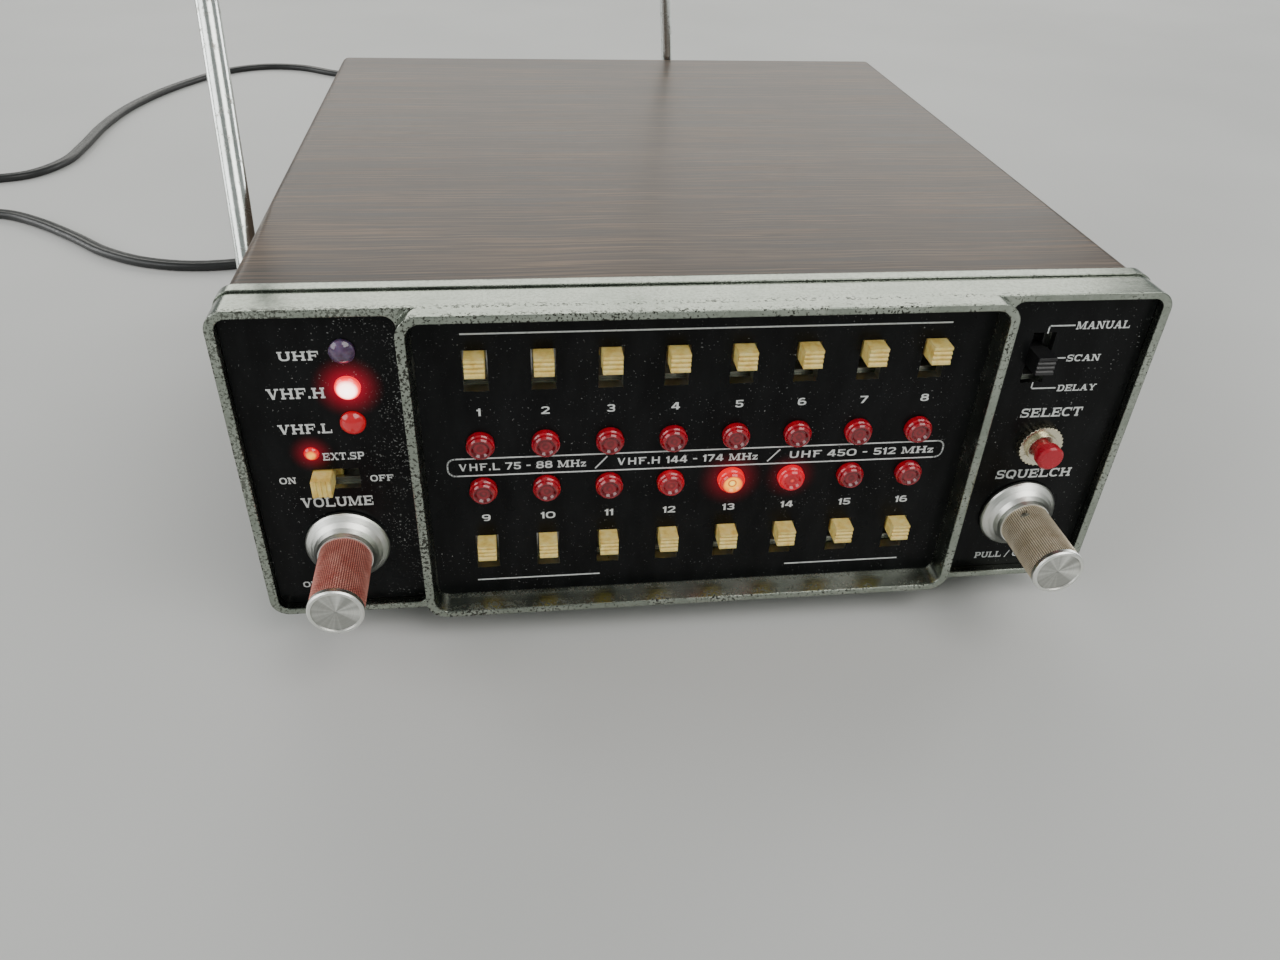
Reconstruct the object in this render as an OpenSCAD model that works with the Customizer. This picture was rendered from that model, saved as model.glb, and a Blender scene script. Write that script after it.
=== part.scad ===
/* [Cabinet] */
// Width of the front bezel
body_w = 192.6; // [185:0.2:240]
// Height of the front bezel
body_h = 75.3; // [74:0.1:100]
// Depth from the centre frame's rim to the rear edge of the cover
body_d = 205.2; // [170:0.2:260]
// Height of the rubber feet under the bezel
foot_h = 8.5; // [5:0.5:20]
// Thickness of the steel cover and tray
sheet_t = 1; // [0.6:0.1:1.5]
// Outside radius of the cover's long edges
cover_r = 2.6; // [1.5:0.1:4]

/* [Bezel] */
// Radius of the bezel's outer corners
bezel_r = 4; // [2:0.5:8]
// Depth of the bezel's side walls
bezel_side_d = 11.5; // [10:0.5:16]
// How far the centre frame stands in front of the side bays
centre_proud = 3.9; // [2:0.1:8]
// Depth of the centre panel behind its frame
centre_recess = 4.8; // [3:0.1:5.5]
// Depth of the side panels behind their rims
side_recess = 2.2; // [1:0.1:3]
// Width of the rims at the sides
rim_w = 1.8; // [1.2:0.1:3]
// Width of the rims at the top and bottom
rim_h = 1.5; // [1:0.1:2.5]
// Slope of the centre frame's inner walls, top and bottom
wall_draft = 1.4; // [0.5:0.1:2]
// Thickness of the wall that the panels lie on
web_t = 2; // [1.5:0.1:3]
// Depth of the raised lip around the cover
lip_d = 3; // [2:0.1:5]

/* [Channels] */
// Distance from one channel to the next
pitch = 13.5; // [12.5:0.1:16.5]
// Channels in each row
row_count = 8; // [8:1:8]
// Height of the switch rows above and below the middle of the grid
switch_row = 23.05; // [22:0.05:26]
// Height of the lamp rows above and below the middle of the grid
lamp_row = 5.75; // [5:0.05:8]
// Height of the grid's middle above the bezel's middle
grid_lift = 0.3; // [0:0.1:1]
// Width of a switch window
window_w = 5; // [4.6:0.1:6]
// Height of a switch window
window_h = 9.2; // [8.6:0.1:11]
// Width and height of a slide knob
slide_knob = 4; // [3.5:0.1:4.8]
// How far a slide knob stands out of its panel
slide_proud = 4; // [3:0.1:6]
// Diameter of a channel lamp
lens_d = 5.9; // [5:0.1:6.5]
// How far a channel lamp stands out of the panel
lens_proud = 2.4; // [1.5:0.1:4]

/* [Controls] */
// Shift of the knobs from the middle of their bay towards the centre frame
control_shift = 1.375; // [0:0.125:3]
// Height of the two knobs below the middle of the bezel
knob_drop = 19.6; // [18:0.1:24]
// Diameter of a knob's barrel
knob_d = 11.5; // [10:0.1:14]
// Diameter of a knob's skirt
skirt_d = 18; // [15:0.1:22]
// Length of a knob in front of its panel
knob_l = 22.5; // [18:0.1:30]
// Diameter of the control shafts
shaft_d = 6; // [4:0.1:6.35]
// Length that the squelch shaft pulls out
pull_travel = 4; // [2:0.5:6]
// Diameter of the push-button's cap
button_d = 5.9; // [5:0.1:8]
// Travel of the push-button
button_travel = 1.5; // [1:0.1:3]
// Diameter of the push-button's knurled nut
nut_d = 10.3; // [9:0.1:14]
// Diameter of a band lamp
led_d = 5; // [3:0.1:6]
// Distance from one band lamp to the next
led_pitch = 8.1; // [7:0.1:12]
// Diameter of the speaker lamp
small_led_d = 3; // [2:0.1:4]

/* [Antennas] */
// Diameter of the side antenna's outer tube
side_rod_d = 5.4; // [4.5:0.1:8]
// Length of the side antenna's outer tube
side_rod_l = 150; // [100:1:220]
// Diameter of the rear antenna's outer tube
rear_rod_d = 3.8; // [3.6:0.1:7]
// Length of the rear antenna's outer tube
rear_rod_l = 140; // [100:1:220]
// Height of the side antenna's pivot above the table
side_pivot_z = 50; // [35:1:65]
// Height of the rear antenna's pivot above the table
rear_pivot_z = 60; // [40:1:66]
// Backward lean of the side antenna
side_lean = 29.2; // [0:0.1:60]
// Outward lean of the side antenna
side_splay = 4.7; // [0:0.1:20]
// Sideways lean of the rear antenna
rear_lean = 4.6; // [0:0.1:30]

/* [Cord] */
// Width of the flat mains lead
lead_w = 5.4; // [4.6:0.1:6]
// Thickness of the flat mains lead
lead_t = 3.3; // [2.8:0.1:4]

/* [Hidden] */
// clearances
slip = 0.1;          // piece laid into a recess
knob_gap = 0.1;      // slide knob to the end of its window
run_fit = 0.05;      // radial clearance of a shaft or pin that turns or slides
clear = 0.3;         // pieces that pass without touching
$fn = 48;

// planes, from the front (-Y) to the back
front_y = -body_d / 2;
rear_y = body_d / 2;
side_rim_y = front_y + centre_proud;
centre_face_y = front_y + centre_recess;
side_face_y = side_rim_y + side_recess;
side_panel_t = 1.5;
web_y = side_face_y + side_panel_t;
back_y = web_y + web_t;                 // rear face of the web
lip_back_y = side_rim_y + bezel_side_d;
lip_y = lip_back_y - lip_d;
cover_y = lip_y + 0.5;                  // front edge of the cover, inside the lip
rear_panel_t = 1.2;
rear_panel_y = rear_y - 3.5;            // front face of the rear panel
frame_d = 7;                            // depth of a slide switch behind the web
board_y = back_y + frame_d;             // front face of the display board
board_t = 1.6;

// heights
mid_z = foot_h + body_h / 2;
grid_z = mid_z + grid_lift;
cover_top = foot_h + body_h - 1;
tray_z = foot_h + 0.8;                  // underside of the tray
floor_z = tray_z + sheet_t;             // top of the tray's floor
knob_z = mid_z - knob_drop;

// widths
row_w = (row_count - 1) * pitch;
frame_w = row_w + 28.4;                 // centre frame, outside
frame_in_w = frame_w - 2 * rim_w;
panel_w = frame_in_w - 1.5;
panel_h = body_h - 2 * rim_h - 2 * wall_draft;
half_w = body_w / 2;
cover_half = half_w - 1.1;
lip_half = cover_half + slip + 1.2;
control_x = (frame_w / 2 + half_w) / 2 - control_shift;
side_panel_w = half_w - rim_w - frame_w / 2 - 2 * slip;
side_panel_x = frame_w / 2 + slip + side_panel_w / 2;
side_panel_h = body_h - 2 * rim_h - 2 * slip;

// controls in the side bays
led_x = -(control_x - 5.1);
led_z = mid_z + 19.8;                   // middle of the three band lamps
small_led_x = -(control_x + 4.2);
small_led_z = mid_z + 4.4;
speaker_window_w = 9.5;
speaker_x = -control_x;
speaker_z = mid_z - 2.1;
mode_x = control_x - 6.1;
mode_z = mid_z + 21.9;
mode_window_h = 12;
select_z = mid_z;
select_bush_d = 7;
button_stem_d = 4;
bush_proud = 2.8;
bushing_d = 7;
can_d = 16.5;
pull_pot_l = 13 + pull_travel;          // length of the control with the pull switch

// inside the cabinet, under it and on its rear
board_z = floor_z + 8;
board_w = body_w - 22;
board_front = back_y + pull_pot_l + 1.4;
board_back = rear_panel_y - 30;
speaker_at = [30, -20];
speaker_d = 66;
foot_x = half_w - 18;
foot_y = body_d / 2 - 24;
cover_screw_z = floor_z + 11;
cover_screw_y = [front_y + 32, rear_y - 26];
bush_hole_d = 11;
// x, z and hole diameter of the antenna socket, speaker socket, supply socket and fuse
rear_socket_places = [[-64, 28, 9], [-44, 28, 6.4], [-24, 28, 8.2], [2, 28, 12.2]];
rear_screw_x = cover_half - 9;
speaker_travel = speaker_window_w - slide_knob - 2 * knob_gap;

// antennas
wall_x = 6.5;                           // from a pivot to its wall
side_pivot = [-cover_half - wall_x, front_y + 58.9, side_pivot_z];
rear_pivot = [21.4, rear_panel_y + rear_panel_t + wall_x, rear_pivot_z];
fork_r = 4.5;
lug_t = 3;
lug_r = 1.9;
tilt_pin_d = 2;
stub_d = 4;
mount_d = 13;
mount_t = 3;
section_z = fork_r + 6.3;               // bottom of a sliding section, above the tube's closed end

// mains lead: exit, route over the table and coil behind the cabinet
lie = lead_t / 2;
lead_x = 52;
lead_z = 26;
bush_l = 20;
lead_y = rear_panel_y + rear_panel_t + bush_l;
coil_at = [-38, 178];
coil_r_in = 25.8;
coil_r_out = 36.7;
coil_h = 2 * lead_t + 0.2;
route = [
    [lead_x, lead_y, lead_z],
    [lead_x, lead_y + 10.7, lead_z - 0.6],
    [lead_x, lead_y + 22.7, lead_z - 4.4],
    [52, 154, 15], [52, 165, 7.6], [52, 177, 2.9],
    [52, 192, lie], [50, 225, lie], [38, 265, lie], [14, 308, lie], [-22, 350, lie],
    [-68, 383, lie], [-148, 421, lie], [-172, 436, lie], [-195, 438, lie], [-215, 427, lie],
    [-231, 403, lie], [-244, 374, lie], [-253, 340, lie], [-256, 304, lie], [-255, 268, lie],
    [-256, 245, lie], [-266, 226, lie], [-286, 219, lie], [-306, 218, lie], [-325, 210, lie],
    [-336, 193, lie], [-331, 173, lie], [-314, 163, lie], [-294, 167, lie], [-275, 175, lie],
    [-257, 174, lie], [-240, 164, lie], [-220, 147, lie], [-202, 130, lie], [-183, 119, lie],
    [-160, 115, lie], [-118, 125, lie], [-76, 136, lie], [-48, 143, lie]];
plug_at = [-92, 212];

function switch_name(i) = str("channel_switch_", i < 10 ? "0" : "", i);
function column_x(i) = -row_w / 2 + i * pitch;
function unit(v) = v / norm(v);

// ---------- shared shapes ----------

// rounded rectangle, centred
module rounded(w, h, r) {
    square([w - 2 * r, h], center = true);
    square([w, h - 2 * r], center = true);
    for (x = [-1, 1], z = [-1, 1])
        translate([x * (w / 2 - r), z * (h / 2 - r)]) circle(r);
}

// an outline in X and Z, carried from y0 back to y1
module slab(y0, y1) {
    translate([0, y1, 0]) rotate([90, 0, 0]) linear_extrude(y1 - y0) children();
}

// a box given by its middle in X and Z and its two planes in Y
module block(x, z, w, h, y0, y1) {
    translate([x - w / 2, y0, z - h / 2]) cube([w, y1 - y0, h]);
}

// a rod along Y between two planes
module rod_y(x, z, d, y0, y1) {
    translate([x, y0, z]) rotate([-90, 0, 0]) cylinder(d = d, h = y1 - y0);
}

// straight knurl: a polygon whose points go in and out
module knurl(d, teeth, depth, h) {
    linear_extrude(h) polygon([for (i = [0:2 * teeth - 1])
        let (r = d / 2 - (i % 2) * depth) r * [cos(i * 180 / teeth), sin(i * 180 / teeth)]]);
}

// ---------- cabinet ----------

module cover_outline(grow) {
    translate([0, (cover_top + tray_z) / 2])
        rounded(2 * (cover_half + grow), cover_top - tray_z + 2 * grow, cover_r + grow);
}

module chassis_tray() {
    tray_half = cover_half - sheet_t - slip;
    front = cover_y + slip;
    color("gray") difference() {
        union() {
            block(0, floor_z - sheet_t / 2, 2 * tray_half, sheet_t, front, rear_panel_y);
            for (s = [-1, 1])
                block(s * (tray_half - sheet_t / 2), floor_z + 9, sheet_t, 18.02,
                      lip_back_y + 1, rear_panel_y);
            block(0, floor_z + 4, 2 * tray_half, 8.02, rear_panel_y - sheet_t, rear_panel_y);
            block(0, floor_z + 2, 2 * tray_half, 4.02, front, front + sheet_t);
        }
        for (i = [-4:4])
            translate([speaker_at[0] - speaker_slot_l(i) / 2, speaker_at[1] + i * 6 - 1.5, tray_z - 1])
                cube([speaker_slot_l(i), 3, sheet_t + 2]);
        for (x = [-1, 1], y = [-1, 1])
            translate([x * foot_x, y * foot_y, tray_z - 1]) cylinder(d = 3.4, h = sheet_t + 2);
    }
}

function speaker_slot_l(i) = 2 * sqrt(pow(speaker_d / 2 - 5, 2) - pow(i * 6, 2));

module rear_panel() {
    z0 = floor_z;
    z1 = cover_top - sheet_t - slip;
    w = 2 * (cover_half - sheet_t - slip);
    color("dimgray") difference() {
        translate([0, 0, (z0 + z1) / 2]) slab(rear_panel_y, rear_panel_y + rear_panel_t)
            rounded(w, z1 - z0, cover_r - sheet_t - slip);
        rod_y(lead_x, lead_z, bush_hole_d, rear_panel_y - 1, rear_y);
        for (s = rear_socket_places)
            rod_y(s[0], s[1], s[2], rear_panel_y - 1, rear_y);
        for (i = [0:9])
            block(-60 + i * 6, mid_z + 22, 2.4, 16, rear_panel_y - 1, rear_y);
        rod_y(rear_pivot[0], rear_pivot[2], stub_d + 3, rear_panel_y - 1, rear_y);
        for (x = [-1, 1], z = [-1, 1])
            rod_y(x * rear_screw_x, rear_screw_z(z), 3.2, rear_panel_y - 1, rear_y);
    }
}

function rear_screw_z(s) = s > 0 ? cover_top - 9 : floor_z + 12;

module top_cover() {
    color("saddlebrown") difference() {
        slab(cover_y, rear_y) difference() {
            cover_outline(0);
            translate([0, (cover_top + tray_z) / 2])
                rounded(2 * (cover_half - sheet_t), cover_top - tray_z - 2 * sheet_t,
                        cover_r - sheet_t);
            translate([-cover_half - 1, tray_z - 1]) square([2 * cover_half + 2, 5]);
        }
        for (s = [-1, 1], y = cover_screw_y)
            translate([s * cover_half, y, cover_screw_z]) rotate([0, 90, 0])
                cylinder(d = 3.4, h = 6, center = true);
        translate([-cover_half, side_pivot[1], side_pivot[2]]) rotate([0, 90, 0])
            cylinder(d = stub_d + 3, h = 6, center = true);
    }
}

module centre_frame_outline() {
    translate([0, mid_z]) rounded(frame_w, body_h, bezel_r + 0.5);
}

// the sloped recess in front of the centre panel
module centre_recess_cut() {
    hull() {
        translate([0, 0, mid_z]) slab(front_y - 0.02, front_y)
            rounded(frame_in_w, body_h - 2 * rim_h, bezel_r - 0.8, $fn = 32);
        translate([0, 0, mid_z]) slab(centre_face_y - 0.02, centre_face_y)
            rounded(panel_w, panel_h, bezel_r - 1.5, $fn = 32);
    }
}

module front_bezel() {
    color("silver") difference() {
        union() {
            // shell with its raised lip
            translate([0, 0, mid_z]) slab(side_rim_y, lip_y) rounded(body_w, body_h, bezel_r);
            translate([0, 0, mid_z]) slab(lip_y, lip_back_y)
                rounded(2 * lip_half, body_h + 0.8, bezel_r + 0.3);
            slab(front_y, web_y) centre_frame_outline();
        }
        // groove in front of the lip
        difference() {
            translate([0, 0, mid_z]) slab(lip_y - 0.7, lip_y) square([body_w + 4, body_h + 4], center = true);
            translate([0, 0, mid_z]) slab(lip_y - 1, lip_y + 0.3)
                rounded(body_w - 0.8, body_h - 0.8, bezel_r - 0.4);
        }
        // inside, behind the web
        translate([0, 0, mid_z]) slab(back_y, cover_y)
            rounded(body_w - 5, body_h - 5, bezel_r - 1.5);
        slab(cover_y, lip_back_y + 1) cover_outline(slip);
        // side bays
        for (s = [-1, 1])
            translate([s * side_panel_x, 0, mid_z]) slab(side_rim_y - 1, web_y)
                rounded(side_panel_w + 2 * slip, side_panel_h + 2 * slip, bezel_r - 1.5);
        // centre bay
        centre_recess_cut();
        translate([0, 0, mid_z]) slab(centre_face_y - 0.01, web_y)
            rounded(panel_w + 2 * slip, panel_h + 2 * slip, bezel_r - 1.5);
        // apertures in the web
        for (row = [-1, 1], i = [0:row_count - 1]) {
            block(column_x(i), grid_z + row * switch_row, window_w + 1.4, window_h + 1.4,
                  web_y - 1, back_y + 1);
            rod_y(column_x(i), grid_z + row * lamp_row, lens_d + 0.2, web_y - 1, back_y + 1);
        }
        for (i = [-1:1])
            rod_y(led_x, led_z + i * led_pitch, led_d + 0.4, web_y - 1, back_y + 1);
        rod_y(small_led_x, small_led_z, small_led_d + 0.4, web_y - 1, back_y + 1);
        block(speaker_x, speaker_z, speaker_window_w + 1.4, window_w + 1.4, web_y - 1, back_y + 1);
        block(mode_x, mode_z, window_w + 1.4, mode_window_h + 1.4, web_y - 1, back_y + 1);
        rod_y(control_x, select_z, select_bush_d + 0.2, web_y - 1, back_y + 1);
        for (s = [-1, 1])
            rod_y(s * control_x, knob_z, bushing_d + 0.2, web_y - 1, back_y + 1);
    }
}

// ---------- panels ----------

module centre_panel() {
    color([0.06, 0.06, 0.07]) difference() {
        translate([0, 0, mid_z]) slab(centre_face_y, web_y)
            rounded(panel_w, panel_h, bezel_r - 1.6);
        for (row = [-1, 1], i = [0:row_count - 1]) {
            block(column_x(i), grid_z + row * switch_row, window_w, window_h,
                  centre_face_y - 1, web_y + 1);
            rod_y(column_x(i), grid_z + row * lamp_row, lens_d + 0.2, centre_face_y - 1, web_y + 1);
        }
    }
}

module side_panel_blank(s) {
    translate([s * side_panel_x, 0, mid_z]) slab(side_face_y, web_y)
        rounded(side_panel_w, side_panel_h, bezel_r - 1.6);
}

module left_panel() {
    color([0.06, 0.06, 0.07]) difference() {
        side_panel_blank(-1);
        for (i = [-1:1])
            rod_y(led_x, led_z + i * led_pitch, led_d + 0.2, side_face_y - 1, web_y + 1);
        rod_y(small_led_x, small_led_z, small_led_d + 0.2, side_face_y - 1, web_y + 1);
        block(speaker_x, speaker_z, speaker_window_w, window_w, side_face_y - 1, web_y + 1);
        rod_y(-control_x, knob_z, bushing_d + 0.2, side_face_y - 1, web_y + 1);
    }
}

module right_panel() {
    color([0.06, 0.06, 0.07]) difference() {
        side_panel_blank(1);
        block(mode_x, mode_z, window_w, mode_window_h, side_face_y - 1, web_y + 1);
        rod_y(control_x, select_z, select_bush_d + 0.2, side_face_y - 1, web_y + 1);
        rod_y(control_x, knob_z, bushing_d + 0.2, side_face_y - 1, web_y + 1);
    }
}

// ---------- lamps ----------

// lens of a channel lamp: stepped end with a shallow dish
module channel_lens(x, z) {
    translate([x, centre_face_y - lens_proud, z]) rotate([-90, 0, 0]) rotate_extrude()
        polygon([[0, 0.5], [lens_d / 2 - 1.5, 0.5], [lens_d / 2 - 1.1, 0], [lens_d / 2 - 0.7, 0],
                 [lens_d / 2 - 0.4, 0.35], [lens_d / 2 - 0.25, 0.9], [lens_d / 2, 1.2],
                 [lens_d / 2, lens_proud + web_y - centre_face_y + web_t],
                 [0, lens_proud + web_y - centre_face_y + web_t]]);
}

module lamp_row_lenses(row) {
    for (i = [0:row_count - 1])
        channel_lens(column_x(i), grid_z + row * lamp_row);
}

module upper_lamps() {
    color([0.75, 0.05, 0.08]) lamp_row_lenses(1);
}

module lower_lamps() {
    color([0.75, 0.05, 0.08]) lamp_row_lenses(-1);
}

// domed lamp that stands out of a side panel
module dome_lamp(x, z, d, proud) {
    dome = min(d / 2, proud);
    translate([x, side_face_y, z]) rotate([-90, 0, 0]) intersection() {
        translate([0, 0, -proud]) cylinder(d = d, h = proud + side_panel_t + web_t);
        translate([0, 0, -proud + d / 2 * 1.25]) union() {
            sphere(d / 2 * 1.25);
            cylinder(d = d + 1, h = 12);
        }
    }
}

module band_lamps() {
    color([0.8, 0.05, 0.1])
        for (i = [-1:1]) dome_lamp(led_x, led_z + i * led_pitch, led_d, 1.9);
}

module speaker_lamp() {
    color([0.9, 0.1, 0.05]) dome_lamp(small_led_x, small_led_z, small_led_d, 1);
}

// ---------- slide switches ----------

// hollow metal frame behind the web, with a slot for its knob's stem
module slide_frame(x, z, w, h, slot_w, slot_h) {
    difference() {
        block(x, z, w, h, back_y, back_y + frame_d);
        block(x, z, w - 1.2, h - 1.2, back_y + 0.8, back_y + frame_d - 1);
        block(x, z, slot_w, slot_h, back_y - 1, back_y + 2);
    }
}

// ribbed knob; its ribs run across the way that it slides
module slide_knob_shape(panel_y, along_z) {
    face_y = panel_y - slide_proud;
    stem = slide_knob - 0.4;
    difference() {
        union() {
            block(0, 0, slide_knob, slide_knob, face_y, web_y);
            block(0, 0, stem, stem, web_y - 0.01, back_y + 3.6);
            block(0, 0, along_z ? stem + 1.4 : stem + 2.6, along_z ? stem + 2.6 : stem + 1.4,
                  back_y + 1.4, back_y + 3.2);
        }
        for (i = [-1:1])
            translate([0, face_y, 0]) rotate([0, along_z ? 0 : 90, 0])
                translate([0, 0, i * slide_knob / 4]) rotate([45, 0, 0])
                    cube([slide_knob + 1, 0.55, 0.55], center = true);
    }
}

module channel_switch_frames() {
    color("lightgray")
        for (row = [-1, 1], i = [0:row_count - 1])
            slide_frame(column_x(i), grid_z + row * switch_row, pitch - 4, window_h + 4.2,
                        slide_knob + 0.2, window_h);
}

module channel_switch(i) {
    row = i <= row_count ? 1 : -1;
    column = (i - 1) % row_count;
    color([0.93, 0.85, 0.62])
        translate([column_x(column), 0,
                   grid_z + row * switch_row + window_h / 2 - knob_gap - slide_knob / 2])
            slide_knob_shape(centre_face_y, true);
}

module speaker_switch_frame() {
    color("lightgray")
        slide_frame(speaker_x, speaker_z, speaker_window_w + 4.2, pitch - 4,
                    speaker_window_w, slide_knob + 0.2);
}

module speaker_switch_knob() {
    color([0.93, 0.88, 0.75])
        translate([speaker_x - speaker_travel / 2, 0, speaker_z])
            slide_knob_shape(side_face_y, false);
}

module mode_switch_frame() {
    color("lightgray")
        slide_frame(mode_x, mode_z, pitch - 4, mode_window_h + 4.2, slide_knob + 0.2,
                    mode_window_h);
}

module mode_switch_knob() {
    color([0.1, 0.1, 0.1])
        translate([mode_x, 0, mode_z]) slide_knob_shape(side_face_y, true);
}

// ---------- push-button ----------

module select_bushing() {
    color([0.75, 0.68, 0.5]) difference() {
        union() {
            rod_y(control_x, select_z, select_bush_d, side_face_y - bush_proud, back_y + 8);
            translate([control_x, side_face_y - 1.8, select_z]) rotate([-90, 0, 0])
                knurl(nut_d, 30, 0.3, 1.8);
            block(control_x, select_z, 10, 10, back_y, back_y + 12);
        }
        rod_y(control_x, select_z, button_stem_d + 2 * run_fit, side_face_y - 10, back_y + 10);
    }
}

module select_button() {
    cap_back = side_face_y - bush_proud - button_travel - clear;
    color([0.8, 0.08, 0.08]) union() {
        rod_y(control_x, select_z, button_d, cap_back - 1.9, cap_back);
        translate([control_x, cap_back - 1.9, select_z]) rotate([90, 0, 0])
            cylinder(d1 = button_d, d2 = button_d - 1, h = 0.5);
        rod_y(control_x, select_z, button_stem_d, cap_back - 0.1, back_y + 7.5);
    }
}

// ---------- volume and squelch ----------

// control behind the web, with the bushing that its shaft runs in
module control_body(s, depth) {
    difference() {
        union() {
            rod_y(s * control_x, knob_z, can_d, back_y, back_y + depth);
            rod_y(s * control_x, knob_z, bushing_d, side_face_y - 1, back_y + 1);
        }
        rod_y(s * control_x, knob_z, shaft_d + 2 * run_fit, side_face_y - 2, back_y + depth - 1.5);
    }
}

// barrel with a knurl, raised rim and dished cap, on a flared skirt
module knob_shape(shaft_bore, screw_turn) {
    gap = clear;
    difference() {
        union() {
            rotate_extrude() polygon([
                [0, gap + 1], [skirt_d / 2 - 1.4, gap + 1], [skirt_d / 2 - 1, gap],
                [skirt_d / 2, gap], [skirt_d / 2, gap + 0.7], [skirt_d / 2 - 0.3, gap + 1.1],
                [knob_d / 2 + 1.9, gap + 2], [knob_d / 2 + 1.1, gap + 2.9],
                [knob_d / 2 + 0.5, gap + 3.9], [knob_d / 2 + 0.1, gap + 4.9], [0, gap + 4.9]]);
            translate([0, 0, gap + 4.8]) knurl(knob_d - 0.2, 72, 0.2, knob_l - gap - 6);
            rotate_extrude() polygon([
                [0, knob_l - 1.3], [knob_d / 2, knob_l - 1.3], [knob_d / 2, knob_l - 0.4],
                [knob_d / 2 - 0.3, knob_l], [knob_d / 2 - 0.8, knob_l],
                [knob_d / 2 - 1, knob_l - 0.3], [0, knob_l - 0.55]]);
        }
        translate([0, 0, -1]) cylinder(d = shaft_bore, h = knob_l - 5);
        translate([0, 0, gap + 1 - 8]) cylinder(d = bushing_d + 1, h = 8);
        translate([0, 0, 7.2]) rotate([-90, 0, screw_turn]) cylinder(d = 2.2, h = knob_d);
    }
}

// turns a knob drawn along +Z so that it points to the front
module on_panel(s) {
    translate([s * control_x, side_face_y, knob_z]) rotate([90, 0, 0]) children();
}

module volume_control() {
    color("darkgray") control_body(-1, 11);
}

module volume_knob() {
    color([0.8, 0.8, 0.78]) {
        on_panel(-1) knob_shape(shaft_d, 190);
        rod_y(-control_x, knob_z, shaft_d, side_face_y - knob_l + 6, back_y + 8);
    }
}

module squelch_control() {
    color("darkgray") control_body(1, pull_pot_l);
}

module squelch_shaft() {
    color("silver") rod_y(control_x, knob_z, shaft_d, side_face_y - knob_l + 7, back_y + 9 + pull_travel);
}

module squelch_knob() {
    color([0.8, 0.78, 0.7]) on_panel(1) knob_shape(shaft_d + 2 * run_fit, 26);
}

// ---------- inside ----------

module main_board() {
    color("darkgreen") {
        difference() {
            translate([-board_w / 2, board_front, board_z])
                cube([board_w, board_back - board_front, board_t]);
            translate([speaker_at[0], speaker_at[1], board_z - 1]) cylinder(d = speaker_d + 6, h = 4);
            for (x = [-1, 1], y = [board_front + 6, board_back - 6])
                translate([x * (board_w / 2 - 6), y, board_z - 1]) cylinder(d = 3.2, h = 4);
        }
        // standoffs
        for (x = [-1, 1], y = [board_front + 6, board_back - 6])
            translate([x * (board_w / 2 - 6), y, floor_z]) cylinder(d = 6, h = board_z - floor_z);
        // coil cans, capacitors and chips
        for (i = [0:3], j = [0:1])
            translate([-75 + i * 13, 8 + j * 16, board_z + board_t]) cube([8, 8, 11]);
        for (i = [0:2])
            translate([-70 + i * 22, -32, board_z + board_t]) cube([16, 6.5, 4]);
        for (i = [0:2])
            translate([-66 + i * 16, 50, board_z + board_t]) cylinder(d = 10, h = 14);
    }
}

module display_board() {
    color("seagreen") difference() {
        translate([0, 0, mid_z]) slab(board_y, board_y + board_t)
            rounded(frame_w - 4, body_h - 10, 2);
        for (x = [-1, 1])
            rod_y(x * (frame_w / 2 - 7), mid_z, 3.2, board_y - 1, board_y + 3);
    }
}

module crystals() {
    color("gainsboro")
        for (i = [0:7], j = [0:1])
            translate([-80 + i * 10.2, -62 + j * 10, board_z + board_t]) cube([6.8, 3.8, 12]);
}

module transformer() {
    at = [62, rear_panel_y - 50, board_z + board_t];
    color("slategray") {
        translate([at[0] - 19, at[1] - 13, at[2]]) cube([38, 26, 32]);
        for (s = [-1, 1])
            translate([at[0], at[1] + s * 16.5, at[2] + 16]) cube([26, 7, 22], center = true);
    }
}

module loudspeaker() {
    color([0.2, 0.2, 0.2]) translate([speaker_at[0], speaker_at[1], floor_z]) rotate_extrude()
        polygon([[0, 3], [10, 3], [speaker_d / 2 - 6, 0.5], [speaker_d / 2 - 5, 0], [speaker_d / 2, 0],
                 [speaker_d / 2, 2], [speaker_d / 2 - 5, 2.5], [17, 14], [17, 22], [0, 22]]);
}

// ---------- feet, screws and rear fittings ----------

module feet() {
    color([0.12, 0.12, 0.12])
        for (x = [-1, 1], y = [-1, 1])
            translate([x * foot_x, y * foot_y, 0]) rotate_extrude()
                polygon([
                    [3, 1.5], [3.2, 0], [6.4, 0], [6.8, 0.6],
                    [7.6, tray_z], [1.6, tray_z], [1.6, 3.5], [3, 3.5]]);
}

// pan-head screw along -Z, its head's underside at the origin
module pan_screw(l) {
    difference() {
        union() {
            rotate_extrude() polygon([[0, 0], [2.9, 0], [2.9, 0.9], [2.2, 1.7], [0, 2]]);
            translate([0, 0, -l]) cylinder(d = 3, h = l + 0.1);
        }
        for (a = [0, 90])
            rotate([0, 0, a]) translate([0, 0, 1.8]) cube([3.2, 0.6, 1.4], center = true);
    }
}

module screws() {
    color("dimgray") {
        for (s = [-1, 1], y = cover_screw_y)
            translate([s * cover_half, y, cover_screw_z]) rotate([0, s * 90, 0]) pan_screw(6);
        for (x = [-1, 1], z = [-1, 1])
            translate([x * rear_screw_x, rear_panel_y + rear_panel_t, rear_screw_z(z)])
                rotate([-90, 0, 0]) pan_screw(6);
    }
}

// flanged socket with a hole, on the rear panel
module socket(place, flange_d, bore_d, l) {
    y = rear_panel_y + rear_panel_t;
    difference() {
        union() {
            rod_y(place[0], place[1], place[2] - 0.2, rear_panel_y - l, y + 2.6);
            rod_y(place[0], place[1], flange_d, y, y + 1.4);
        }
        rod_y(place[0], place[1], bore_d, y - 8, y + 4);
    }
}

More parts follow.
